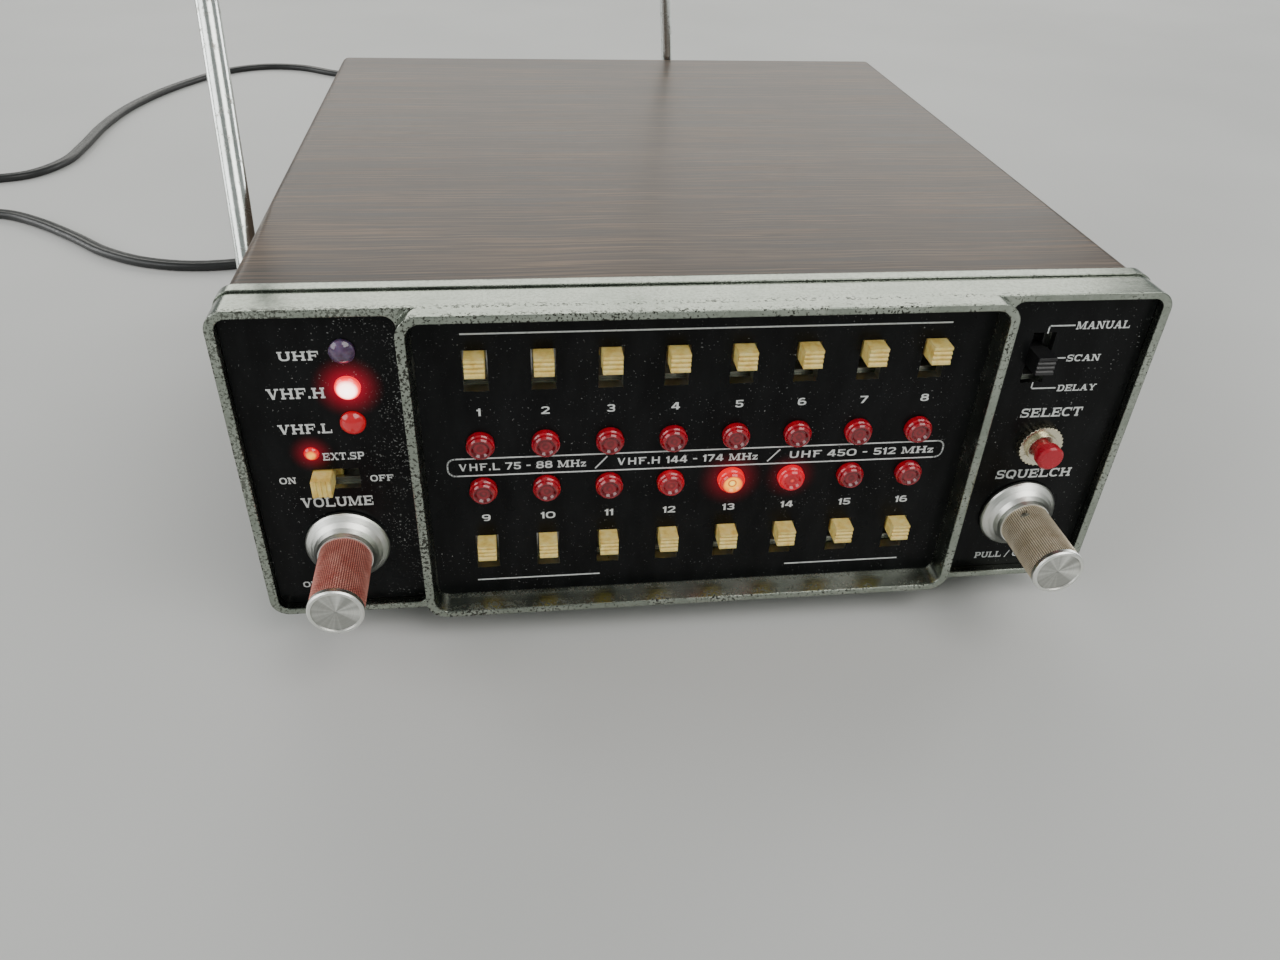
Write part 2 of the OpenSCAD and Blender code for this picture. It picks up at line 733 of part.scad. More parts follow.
module rear_sockets() {
    color("silver") {
        socket(rear_socket_places[0], 13, 4.2, 10);
        socket(rear_socket_places[1], 10, 3.6, 14);
        socket(rear_socket_places[2], 12, 5.5, 12);
        // fuse holder with its cap
        rod_y(rear_socket_places[3][0], rear_socket_places[3][1], rear_socket_places[3][2] - 0.2,
              rear_panel_y - 24, rear_panel_y + rear_panel_t + 1);
        rod_y(rear_socket_places[3][0], rear_socket_places[3][1], 15,
              rear_panel_y + rear_panel_t, rear_panel_y + rear_panel_t + 6);
    }
}

// ---------- mains lead ----------

module cord_bush() {
    y = rear_panel_y + rear_panel_t;
    color([0.08, 0.08, 0.08]) translate([lead_x, y, lead_z]) rotate([-90, 0, 0]) difference() {
        rotate_extrude() polygon([
            [0, -8], [4.2, -8], [4.6, -2.6], [bush_hole_d / 2 - 0.1, -2], [bush_hole_d / 2 - 0.1, 0],
            [bush_hole_d / 2 + 1.5, 0], [bush_hole_d / 2 + 1.5, 1.6], [5, 2.4], [3.6, bush_l],
            [0, bush_l]]);
        for (i = [0:3])
            translate([0, 0, 6 + i * 3.4]) difference() {
                cylinder(d = 14, h = 1.2);
                translate([0, 0, -1]) cylinder(d = 5.8, h = 4);
            }
    }
}

// ring of a swept tube: flat oval across the route's own direction
function side_of(d) = unit(cross(d, [0, 0, 1]));
function route_dir(i) = unit(route[min(i + 1, len(route) - 1)] - route[max(i - 1, 0)]);
function ring(i) = let (d = route_dir(i), s = side_of(d), u = cross(s, d))
    [for (k = [0:9]) route[i] + s * (lead_w / 2 * cos(k * 36)) + u * (lead_t / 2 * sin(k * 36))];

module mains_lead() {
    n = len(route);
    points = [for (i = [0:n - 1]) each ring(i)];
    sides = [for (i = [0:n - 2], k = [0:9])
        [i * 10 + k, i * 10 + (k + 1) % 10, (i + 1) * 10 + (k + 1) % 10, (i + 1) * 10 + k]];
    color([0.08, 0.08, 0.08]) polyhedron(
        points,
        concat([[for (k = [9:-1:0]) k]], sides, [[for (k = [0:9]) (n - 1) * 10 + k]]),
        convexity = 6);
}

module mains_lead_coil() {
    color([0.1, 0.1, 0.1]) translate([coil_at[0], coil_at[1], 0]) rotate_extrude()
        translate([coil_r_in, 0]) square([coil_r_out - coil_r_in, coil_h]);
}

// two-pin flat plug lying on the table beside the coil
module mains_plug() {
    color([0.08, 0.08, 0.08]) translate([plug_at[0], plug_at[1], 0]) rotate([0, 0, 90]) {
        hull() {
            translate([-6, -17, 0.2]) cube([12, 1, 12.6]);
            translate([-15, -4, 0]) cube([30, 20, 13]);
        }
        for (s = [-1, 1])
            translate([s * 9.5, 15.9, 6.5]) rotate([-90, 0, 0]) cylinder(d = 4, h = 19);
    }
}

// ---------- antennas ----------
// Drawn with the pivot at the origin, the rod along +Z and the wall towards +X.

module antenna_mount() {
    difference() {
        union() {
            translate([wall_x - mount_t, 0, 0]) rotate([0, 90, 0]) cylinder(d = mount_d, h = mount_t);
            translate([wall_x - 0.1, 0, 0]) rotate([0, 90, 0]) cylinder(d = stub_d + 2.8, h = 7);
        }
        translate([wall_x - mount_t - 1, 0, 0]) rotate([0, 90, 0])
            cylinder(d = stub_d + 2 * run_fit, h = mount_t + 6.5);
    }
}

// fork that turns in the mount and holds the tilt pin
module antenna_swivel_shape() {
    face_x = wall_x - mount_t - slip;
    difference() {
        union() {
            intersection() {
                rotate([90, 0, 0]) cylinder(r = fork_r, h = 2 * fork_r, center = true);
                translate([-fork_r - 1, -fork_r - 1, -fork_r - 1])
                    cube([fork_r + 1 + face_x, 2 * fork_r + 2, 2 * fork_r + 2]);
            }
            rotate([0, 90, 0]) cylinder(r = fork_r, h = face_x);
            translate([face_x - 0.01, 0, 0]) rotate([0, 90, 0])
                cylinder(d = stub_d, h = mount_t + 5);
        }
        translate([-fork_r - 1, -lug_t / 2 - slip, -fork_r - 1])
            cube([fork_r + 1 + lug_r + 0.3, lug_t + 2 * slip, 2 * fork_r + 2]);
    }
    rotate([90, 0, 0]) cylinder(d = tilt_pin_d, h = 2 * fork_r, center = true);
}

// lug with its pin bore, collar and hollow tube; the lower end is closed
module antenna_tube_shape(d, l) {
    difference() {
        union() {
            rotate([90, 0, 0]) cylinder(r = lug_r, h = lug_t, center = true);
            translate([-lug_r, -lug_t / 2, 0]) cube([2 * lug_r, lug_t, fork_r + 0.8]);
            translate([0, 0, fork_r + 0.4]) cylinder(d = d + 1, h = 4);
            translate([0, 0, fork_r + 0.4]) cylinder(d = d, h = l);
        }
        rotate([90, 0, 0]) cylinder(d = tilt_pin_d + 2 * run_fit, h = 12, center = true);
        translate([0, 0, fork_r + 6]) cylinder(d = inner_d(d), h = l);
    }
}

function inner_d(d) = d - 1;
function next_d(d) = inner_d(d) - 2 * run_fit;

module side_antenna_place() {
    translate(side_pivot) rotate([-side_lean, 0, 0]) rotate([0, -side_splay, 0]) children();
}

module rear_antenna_place() {
    translate(rear_pivot) rotate([0, -rear_lean, 0]) rotate([0, 0, -90]) children();
}

module antenna_mounts() {
    color("silver") {
        translate(side_pivot) antenna_mount();
        translate(rear_pivot) rotate([0, 0, -90]) antenna_mount();
    }
}

module side_antenna_swivel() {
    color("silver") translate(side_pivot) rotate([-side_lean, 0, 0]) antenna_swivel_shape();
}

module rear_antenna_swivel() {
    color("silver") rear_antenna_place() antenna_swivel_shape();
}

module side_antenna_tube() {
    color("silver") side_antenna_place() antenna_tube_shape(side_rod_d, side_rod_l);
}

module side_antenna_middle() {
    d = next_d(side_rod_d);
    color("gainsboro") side_antenna_place() translate([0, 0, section_z]) difference() {
        cylinder(d = d, h = side_rod_l + 0.5);
        translate([0, 0, 2]) cylinder(d = inner_d(d), h = side_rod_l + 2);
    }
}

module antenna_tip_shape(rod, cap, l) {
    cylinder(d = rod, h = l);
    translate([0, 0, l - 0.1]) rotate_extrude()
        polygon([[0, 0], [cap / 2, 0], [cap / 2, 2.6], [cap / 2 - 0.8, 3.4], [0, 3.6]]);
}

module side_antenna_tip() {
    d = next_d(next_d(side_rod_d));
    color("gainsboro") side_antenna_place() translate([0, 0, section_z + 2.3])
        antenna_tip_shape(d, side_rod_d, side_rod_l - 0.5);
}

module rear_antenna_tube() {
    color("silver") rear_antenna_place() antenna_tube_shape(rear_rod_d, rear_rod_l);
}

module rear_antenna_tip() {
    color("gainsboro") rear_antenna_place() translate([0, 0, section_z])
        antenna_tip_shape(next_d(rear_rod_d), rear_rod_d, rear_rod_l - 0.5);
}

chassis_tray();
rear_panel();
top_cover();
front_bezel();
centre_panel();
left_panel();
right_panel();
upper_lamps();
lower_lamps();
band_lamps();
speaker_lamp();
channel_switch_frames();
for (i = [1:16])
    channel_switch(i);
speaker_switch_frame();
speaker_switch_knob();
mode_switch_frame();
mode_switch_knob();
select_bushing();
select_button();
volume_control();
volume_knob();
squelch_control();
squelch_shaft();
squelch_knob();
main_board();
display_board();
crystals();
transformer();
loudspeaker();
feet();
screws();
rear_sockets();
cord_bush();
mains_lead();
mains_lead_coil();
mains_plug();
antenna_mounts();
side_antenna_swivel();
side_antenna_tube();
side_antenna_middle();
side_antenna_tip();
rear_antenna_swivel();
rear_antenna_tube();
rear_antenna_tip();
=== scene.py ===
"""Looks of the police scanner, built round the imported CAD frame."""
import math

import bmesh
import bpy
from mathutils import Matrix, Vector


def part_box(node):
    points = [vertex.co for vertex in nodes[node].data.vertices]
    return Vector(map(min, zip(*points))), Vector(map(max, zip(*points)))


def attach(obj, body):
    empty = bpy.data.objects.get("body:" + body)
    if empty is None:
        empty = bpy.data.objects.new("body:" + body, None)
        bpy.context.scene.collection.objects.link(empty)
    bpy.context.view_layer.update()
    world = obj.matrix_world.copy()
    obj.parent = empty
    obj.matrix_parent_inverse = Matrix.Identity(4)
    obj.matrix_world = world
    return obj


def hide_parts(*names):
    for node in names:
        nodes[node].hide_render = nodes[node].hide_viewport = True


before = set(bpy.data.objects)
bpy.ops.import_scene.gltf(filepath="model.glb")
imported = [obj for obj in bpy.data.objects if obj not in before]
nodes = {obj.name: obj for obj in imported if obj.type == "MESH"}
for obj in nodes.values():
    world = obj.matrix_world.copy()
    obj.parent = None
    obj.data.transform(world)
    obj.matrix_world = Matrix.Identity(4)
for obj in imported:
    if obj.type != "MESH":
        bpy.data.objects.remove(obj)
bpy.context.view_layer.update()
MM = 0.001
PITCH = 0.0135  # between the channels

# ---------- camera ----------
# solved from the photograph's grid of switches and lamps and the edges of the bezel and cover

camera = bpy.data.objects.new("camera", bpy.data.cameras.new("camera"))
bpy.context.scene.collection.objects.link(camera)
camera.data.lens = 27.81
camera.data.sensor_width = 36
camera.data.clip_start = 0.01
camera.data.clip_end = 50
camera.matrix_world = (
    Matrix.Translation((-0.03869, -0.27142, 0.16664))
    @ Matrix.Rotation(-0.1443, 4, "Z")
    @ Matrix.Rotation(-0.6203, 4, "X")
    @ Matrix.Rotation(-0.0419, 4, "Y")
    @ Matrix.Rotation(math.radians(90), 4, "X")
)
bpy.context.scene.camera = camera

# ---------- mesh helpers ----------


def new_piece(name, verts, faces, material, body="cabinet", smooth=False):
    """A mesh piece from points in metres, riding on a CAD body."""
    mesh = bpy.data.meshes.new(name)
    mesh.from_pydata([tuple(v) for v in verts], [], faces)
    mesh.validate()
    mesh.update()
    for polygon in mesh.polygons:
        polygon.use_smooth = smooth
    piece = bpy.data.objects.new(name, mesh)
    bpy.context.scene.collection.objects.link(piece)
    mesh.materials.append(material)
    if body:
        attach(piece, body)
    return piece


def smooth_line(points, steps):
    """A centripetal Catmull-Rom curve through the points."""
    pts = [Vector(p) for p in points]
    pts = [2 * pts[0] - pts[1]] + pts + [2 * pts[-1] - pts[-2]]
    line = []
    for i in range(1, len(pts) - 2):
        four = pts[i - 1 : i + 3]
        t = [0.0]
        for a, b in zip(four, four[1:]):
            t.append(t[-1] + (b - a).length ** 0.5)
        for s in range(steps):
            u = t[1] + (t[2] - t[1]) * s / steps
            a = [four[k].lerp(four[k + 1], (u - t[k]) / (t[k + 1] - t[k])) for k in range(3)]
            b = [a[k].lerp(a[k + 1], (u - t[k]) / (t[k + 2] - t[k])) for k in range(2)]
            line.append(b[0].lerp(b[1], (u - t[1]) / (t[2] - t[1])))
    line.append(pts[-2])
    return line


def swept(line, profile):
    """Points and faces of a closed profile swept along a line, its first axis kept level."""
    verts, faces, n = [], [], len(profile)
    side = None
    for i, p in enumerate(line):
        ahead = line[min(i + 1, len(line) - 1)] - line[max(i - 1, 0)]
        ahead.normalize()
        level = ahead.cross(Vector((0, 0, 1)))
        side = level.normalized() if level.length > 0.05 else side
        up = side.cross(ahead)
        verts += [p + side * a + up * b for a, b in profile]
    for i in range(len(line) - 1):
        for k in range(n):
            a, b = i * n + k, i * n + (k + 1) % n
            faces.append((a, b, b + n, a + n))
    faces.append(tuple(range(n - 1, -1, -1)))
    faces.append(tuple(range(len(verts) - n, len(verts))))
    return verts, faces


# ---------- material helpers ----------


class Paint:
    """A node material under construction."""

    def __init__(self, name, **settings):
        self.mat = bpy.data.materials.new(name)
        self.mat.use_nodes = True
        self.tree = self.mat.node_tree
        self.bsdf = self.tree.nodes["Principled BSDF"]
        self.here = self.add("TexCoord").outputs["Object"]
        for key, value in settings.items():
            self.set(key.replace("_", " "), value)

    def add(self, kind, inputs=(), **settings):
        """A new node, with its inputs fed and its settings made."""
        node = self.tree.nodes.new("ShaderNode" + kind)
        for key, value in settings.items():
            setattr(node, key, value)
        for key, value in dict(inputs).items():
            self.feed(node.inputs[key], value)
        return node

    def feed(self, socket, value):
        """Links a socket to another, or gives it a constant."""
        if isinstance(value, bpy.types.NodeSocket):
            self.tree.links.new(value, socket)
        else:
            socket.default_value = value

    def set(self, key, value):
        names = {s.name.lower(): s for s in self.bsdf.inputs}
        if isinstance(value, tuple) and len(value) == 3:
            value = (*value, 1)
        self.feed(names[key.lower()], value)

    def math(self, op, a, b=0.0, c=0.0):
        return self.add("Math", {0: a, 1: b, 2: c}, operation=op).outputs[0]

    def axis(self, k, where=None):
        """One coordinate of a vector, or of the place in the part's own frame."""
        split = self.add("SeparateXYZ", {0: where or self.here})
        return split.outputs[k]

    def noise(self, scale, detail=3.0, rough=0.55, stretch=(1, 1, 1), offset=(0, 0, 0), where=None):
        mapping = {"Vector": where or self.here, "Scale": stretch, "Location": offset}
        at = self.add("Mapping", mapping).outputs[0]
        inputs = {"Vector": at, "Scale": scale, "Detail": detail, "Roughness": rough}
        return self.add("TexNoise", inputs).outputs["Fac"]

    def ramp(self, fac, stops, ease="LINEAR"):
        """Colours, or greys as plain numbers, at places from 0 to 1."""
        node = self.add("ValToRGB", {"Fac": fac})
        node.color_ramp.interpolation = ease
        elements = node.color_ramp.elements
        while len(elements) < len(stops):
            elements.new(0.5)
        for element, (pos, colour) in zip(elements, stops):
            element.position = pos
            if isinstance(colour, (int, float)):
                colour = (colour, colour, colour)
            element.color = (*colour, 1)
        return node.outputs["Color"]

    def span(self, value, low, high, out_low=0.0, out_high=1.0):
        """A value taken from low..high to out_low..out_high and held within them."""
        inputs = {0: value, 1: low, 2: high, 3: out_low, 4: out_high}
        return self.add("MapRange", inputs).outputs[0]

    def mix(self, fac, a, b):
        node = self.add("Mix", data_type="RGBA")
        self.feed(node.inputs[0], fac)
        for k, value in ((6, a), (7, b)):
            if isinstance(value, tuple):
                value = (*value, 1) if len(value) == 3 else value
            self.feed(node.inputs[k], value)
        return node.outputs[2]

    def scaled(self, vector, by):
        return self.add("VectorMath", {0: vector, "Scale": by}, operation="SCALE").outputs[0]

    def sum(self, a, b):
        return self.add("VectorMath", {0: a, 1: b}, operation="ADD").outputs[0]

    def distance(self, x, z):
        """Distance from a line along Y through x, z."""
        dx = self.math("SUBTRACT", self.axis(0), x)
        dz = self.math("SUBTRACT", self.axis(2), z)
        square = self.math("MULTIPLY_ADD", dx, dx, self.math("MULTIPLY", dz, dz))
        return self.math("SQRT", square)

    def fix(self, **settings):
        """Settings that are the same all over, on the shader's own sockets."""
        for key, value in settings.items():
            names = {s.name.lower(): s for s in self.bsdf.inputs}
            names[key.replace("_", " ").lower()].default_value = value

    def bump(self, height, depth, strength=1.0, over=None):
        inputs = {"Height": height, "Distance": depth, "Strength": strength}
        if over is not None:
            inputs["Normal"] = over
        return self.add("Bump", inputs).outputs[0]

    def soft_edge(self, radius):
        return self.add("Bevel", {"Radius": radius}, samples=4).outputs[0]

    def worn_edge(self, radius, low, high):
        """0 on flat faces and 1 where a face meets an edge."""
        true = self.add("NewGeometry").outputs["Normal"]
        dot = self.add("VectorMath", {0: self.soft_edge(radius), 1: true}, operation="DOT_PRODUCT")
        return self.span(dot.outputs["Value"], high, low)


def dress(material, *names):
    """Gives CAD pieces a material."""
    for name in names:
        node = nodes[name]
        node.data.materials.clear()
        node.data.materials.append(material)


# ---------- mains lead ----------

cord = Paint("cord_pvc", base_color=(0.012, 0.013, 0.013))
fine = cord.noise(900, 4)
sheath = [(0.3, (0.009, 0.010, 0.010)), (0.7, (0.020, 0.021, 0.021))]
cord.set("Base Color", cord.ramp(cord.noise(60, 3), sheath))
cord.set("Roughness", cord.span(fine, 0.3, 0.7, 0.3, 0.5))
cord.set("Normal", cord.bump(fine, 0.00004, 0.5))

LOBE = 0.00165  # radius of each of the lead's two rounded sides
LOBE_X = 0.00105  # from the lead's middle to theirs
LIE = LOBE  # height of the lead's middle where it lies on the table
ROUTE = [
    (0.052, 0.1203, 0.026), (0.052, 0.131, 0.0254), (0.052, 0.143, 0.0216), (0.052, 0.154, 0.015),
    (0.052, 0.165, 0.0076), (0.052, 0.177, 0.0029), (0.052, 0.192, LIE), (0.050, 0.225, LIE),
    (0.038, 0.265, LIE), (0.014, 0.308, LIE), (-0.022, 0.350, LIE), (-0.068, 0.383, LIE),
    (-0.148, 0.421, LIE), (-0.172, 0.436, LIE), (-0.195, 0.438, LIE), (-0.215, 0.427, LIE),
    (-0.231, 0.403, LIE), (-0.244, 0.374, LIE), (-0.253, 0.340, LIE), (-0.256, 0.304, LIE),
    (-0.255, 0.268, LIE), (-0.256, 0.245, LIE), (-0.266, 0.226, LIE), (-0.286, 0.219, LIE),
    (-0.306, 0.218, LIE), (-0.325, 0.210, LIE), (-0.336, 0.193, LIE), (-0.331, 0.173, LIE),
    (-0.314, 0.163, LIE), (-0.294, 0.167, LIE), (-0.275, 0.175, LIE), (-0.257, 0.174, LIE),
    (-0.240, 0.164, LIE), (-0.220, 0.147, LIE), (-0.202, 0.130, LIE), (-0.183, 0.119, LIE),
    (-0.160, 0.115, LIE), (-0.118, 0.125, LIE), (-0.076, 0.136, LIE), (-0.048, 0.143, LIE),
]
TO_PLUG = [(-0.048, 0.2119, 0.0052), (-0.060, 0.2120, 0.0060), (-0.0745, 0.212, 0.0065)]
COIL = Vector((-0.038, 0.178, 0))
COIL_STEPS = 84


def coil_point(turn):
    """A place in the coil: two turns side by side on the table and the rest on top of them."""
    outer, inner = 0.0338, 0.0283
    low, high = LIE, LIE + 2 * LOBE
    ease = [
        (0.0, outer, low), (0.82, outer, low), (1.0, inner, low), (1.82, inner, low),
        (2.0, inner, high), (2.82, inner, high), (3.0, outer, high), (3.5, outer, high),
    ]
    for (t0, r0, z0), (t1, r1, z1) in zip(ease, ease[1:]):
        if turn <= t1:
            s = (turn - t0) / (t1 - t0)
            s = s * s * (3 - 2 * s)
            r, z = r0 + (r1 - r0) * s, z0 + (z1 - z0) * s
            break
    angle = math.tau * turn - math.pi / 2
    return COIL + Vector((r * math.cos(angle), r * math.sin(angle), z))


turns = [coil_point(0.01 + 3.48 * k / COIL_STEPS) for k in range(COIL_STEPS + 1)]
cord_line = smooth_line([*ROUTE, *turns, *TO_PLUG], 5)
reach = math.radians(129)  # how far each side curls in to the groove between them
bends = [reach * (k / 4 - 1) for k in range(9)]
profile = [(LOBE_X + LOBE * math.cos(a), LOBE * math.sin(a)) for a in bends]
profile += [(-x, -z) for x, z in profile]
lead = new_piece("mains_lead_run", *swept(cord_line, profile), cord.mat, smooth=True)
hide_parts("mains_lead", "mains_lead_coil")

# wire tie round the coil: a narrow band with flattened sides
TIE_STEPS = 32
TIE_R, TIE_Z = 0.0311, 0.0039  # its middle, from the coil's
TIE_HALF_X, TIE_HALF_Z = 0.0063, 0.0037
TIE_HALF_WIDTH, TIE_THICK = 0.0014, 0.00035
TIE_SECTION = ((-1, 0), (-1, 1), (-0.4, 1.6), (0.4, 1.6), (1, 1), (1, 0))
tie_at = math.radians(35)
from_coil = Vector((math.cos(tie_at), math.sin(tie_at), 0))
across = Vector((-math.sin(tie_at), math.cos(tie_at), 0))
tie_middle = COIL + from_coil * TIE_R + Vector((0, 0, TIE_Z))
tie_verts, tie_faces = [], []
for k in range(TIE_STEPS):
    a = math.tau * k / TIE_STEPS
    x = TIE_HALF_X * max(-0.92, min(0.92, 1.25 * math.cos(a)))
    z = TIE_HALF_Z * max(-0.88, min(0.88, 1.25 * math.sin(a)))
    place = tie_middle + from_coil * x + Vector((0, 0, z))
    out = (place - tie_middle).normalized()
    tie_verts += [
        place + across * (TIE_HALF_WIDTH * u) + out * (TIE_THICK * v) for u, v in TIE_SECTION
    ]
around = len(TIE_SECTION)
for k in range(TIE_STEPS):
    for j in range(around):
        a, b = k * around + j, k * around + (j + 1) % around
        c, d = (b + around) % len(tie_verts), (a + around) % len(tie_verts)
        tie_faces.append((a, b, c, d))
tie = new_piece("mains_lead_tie", tie_verts, tie_faces, cord.mat, smooth=True)

# ---------- materials ----------

# wood-grain vinyl: fine dark and light streaks across the top that run on down the sides
vinyl = Paint("wood_vinyl")
top_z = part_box("top_cover")[1].z
x, y, z = (vinyl.axis(k) for k in range(3))
drop = vinyl.math("SUBTRACT", top_z, z)
along = vinyl.math("MULTIPLY_ADD", vinyl.math("SIGN", x), drop, x)
grain_at = vinyl.add("CombineXYZ", {0: along, 1: y, 2: 0.0}).outputs[0]
wander = vinyl.noise(18, 2, where=grain_at)
bent = vinyl.math("MULTIPLY_ADD", vinyl.math("SUBTRACT", wander, 0.5), 0.004, y)
grain_at = vinyl.add("CombineXYZ", {0: along, 1: bent, 2: 0.0}).outputs[0]
streak = vinyl.noise(1000, 4, 0.6, stretch=(0.02, 1.25, 1), where=grain_at)
stripe = vinyl.noise(1000, 3, 0.5, stretch=(0.004, 0.09, 1), where=grain_at)
pore = vinyl.noise(1000, 2, 0.5, stretch=(0.07, 2.6, 1), offset=(3, 7, 0), where=grain_at)
tone = vinyl.math("MULTIPLY_ADD", streak, 0.84, vinyl.math("MULTIPLY", stripe, 0.16))
wood = vinyl.ramp(tone, [
    (0.36, (0.012, 0.0065, 0.0045)), (0.45, (0.038, 0.022, 0.0145)), (0.53, (0.090, 0.056, 0.037)),
    (0.64, (0.20, 0.135, 0.090)),
])
wood = vinyl.mix(vinyl.span(pore, 0.58, 0.66, 0.0, 0.7), wood, (0.012, 0.008, 0.007))
vinyl.set("Base Color", wood)
vinyl.set("Roughness", vinyl.span(streak, 0.3, 0.7, 0.28, 0.42))
relief = vinyl.math("MULTIPLY_ADD", streak, 0.6, vinyl.math("MULTIPLY", pore, -0.4))
vinyl.set("Normal", vinyl.bump(relief, 0.00006, 0.4, vinyl.soft_edge(0.0008)))
vinyl.fix(specular_ior_level=0.2)
dress(vinyl.mat, "top_cover")

# plated bezel: satin reflections, pitted and dull along its rims
chrome = Paint("chrome_moulding", metallic=1.0)
edge = chrome.worn_edge(0.0009, 0.90, 0.995)
pits = chrome.noise(1000, 4, 0.65, stretch=(1.5, 1.5, 1.5))
large = chrome.noise(120, 3, 0.6, offset=(2, 5, 1))
rim_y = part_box("front_bezel")[0].y
front = chrome.span(chrome.axis(1), rim_y + 0.0002, rim_y + 0.0022, 1.0, 0.0)
side_front = chrome.span(chrome.axis(1), rim_y + 0.0041, rim_y + 0.0058, 0.62, 0.0)
from_side_rim = chrome.math("GREATER_THAN", chrome.axis(1), rim_y + 0.0035)
side_front = chrome.math("MULTIPLY", side_front, from_side_rim)
front = chrome.math("MAXIMUM", front, side_front)
left_side = chrome.span(chrome.axis(0), -0.095, 0.06, 0.085, 0.0)
pitted = chrome.math("ADD", chrome.math("MULTIPLY_ADD", large, 0.35, pits), left_side)
where = chrome.math("MULTIPLY_ADD", edge, 0.6, chrome.math("MULTIPLY", front, 0.85))
spots = chrome.math("MULTIPLY", chrome.span(pitted, 0.77, 0.81), where)
spots = chrome.math("MINIMUM", spots, 1.0)
clean = chrome.ramp(large, [(0.35, (0.30, 0.335, 0.285)), (0.65, (0.43, 0.465, 0.405))])
clean = chrome.mix(chrome.span(pits, 0.45, 0.62, 0.0, 0.3), clean, (0.14, 0.15, 0.12))
chrome.set("Base Color", chrome.mix(spots, clean, (0.035, 0.032, 0.026)))
satin = chrome.span(large, 0.3, 0.7, 0.16, 0.28)
chrome.set("Roughness", chrome.math("MULTIPLY_ADD", spots, 0.5, satin))
scratch = chrome.noise(1000, 3, 0.5, stretch=(0.03, 1.2, 1.2), offset=(1, 0, 4))
relief = chrome.math("MULTIPLY_ADD", spots, -1.0, scratch)
chrome.set("Normal", chrome.bump(relief, 0.00006, 0.35, chrome.soft_edge(0.0005)))
dress(chrome.mat, "front_bezel")

# black panels: thin satin paint with dust, rubbed marks and small chips
panel = Paint("black_panel")
dust = panel.noise(1000, 2, 0.7, stretch=(2.2, 2.2, 2.2))
patch = panel.noise(70, 3, 0.6, offset=(4, 1, 2))
# the left bay is dustier towards the centre frame
rising = panel.span(panel.axis(0), -0.074, -0.064)
dusty_bay = panel.math("MULTIPLY", rising, panel.span(panel.axis(0), -0.060, -0.059, 1.0, 0.0))
dusty = panel.math("MULTIPLY_ADD", dusty_bay, 0.07, dust)
thick = panel.span(patch, 0.44, 0.62, 0.08, 1.0)
specks = panel.math("MULTIPLY", panel.span(dusty, 0.68, 0.74), thick)
rub = panel.noise(220, 4, 0.6, stretch=(1, 1, 0.35), offset=(9, 2, 5))
base = panel.ramp(rub, [(0.35, (0.003, 0.0032, 0.0035)), (0.7, (0.008, 0.0085, 0.009))])
facing = panel.math("ABSOLUTE", panel.axis(1, panel.add("NewGeometry").outputs["Normal"]))
cut = panel.math("LESS_THAN", facing, 0.5)  # bare metal where the sheet is cut
painted = panel.mix(specks, base, (0.42, 0.43, 0.42))
bare = panel.ramp(rub, [(0.3, (0.40, 0.40, 0.38)), (0.7, (0.62, 0.62, 0.60))])
panel.set("Base Color", panel.mix(cut, painted, bare))
panel.set("Metallic", cut)
panel.fix(specular_ior_level=0.12)
panel.set("Roughness", panel.span(patch, 0.3, 0.7, 0.24, 0.40))
panel.set("Normal", panel.bump(panel.math("MULTIPLY_ADD", specks, 0.4, rub), 0.00003, 0.25))
# light that the bright lamps spill on the paint round them: where it starts and ends, and its power
near_band, far_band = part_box("band_lamps")
near_spk, far_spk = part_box("speaker_lamp")
near_row, far_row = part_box("lower_lamps")
row_mid, row_z = (near_row.x + far_row.x) / 2, (near_row.z + far_row.z) / 2
spill = None
for lamp_x, lamp_z, inner, outer, power in (
    ((near_band.x + far_band.x) / 2, (near_band.z + far_band.z) / 2, 0.0024, 0.0076, 0.40),
    ((near_spk.x + far_spk.x) / 2, (near_spk.z + far_spk.z) / 2, 0.0014, 0.0050, 0.22),
    (row_mid + 0.5 * PITCH, row_z, 0.0028, 0.0080, 0.16),
    (row_mid + 1.5 * PITCH, row_z, 0.0028, 0.0068, 0.09),
):
    fading = panel.span(panel.distance(lamp_x, lamp_z), inner, outer, 1.0, 0.0)
    part = panel.math("MULTIPLY", panel.math("POWER", fading, 2.2), power)
    spill = part if spill is None else panel.math("ADD", spill, part)
panel.set("Emission Color", panel.scaled((1.0, 0.006, 0.05), spill))
panel.fix(emission_strength=1.0)
dress(panel.mat, "centre_panel", "left_panel", "right_panel")


LENS_RED = (0.42, 0.006, 0.018)
LENS_R = 0.0030


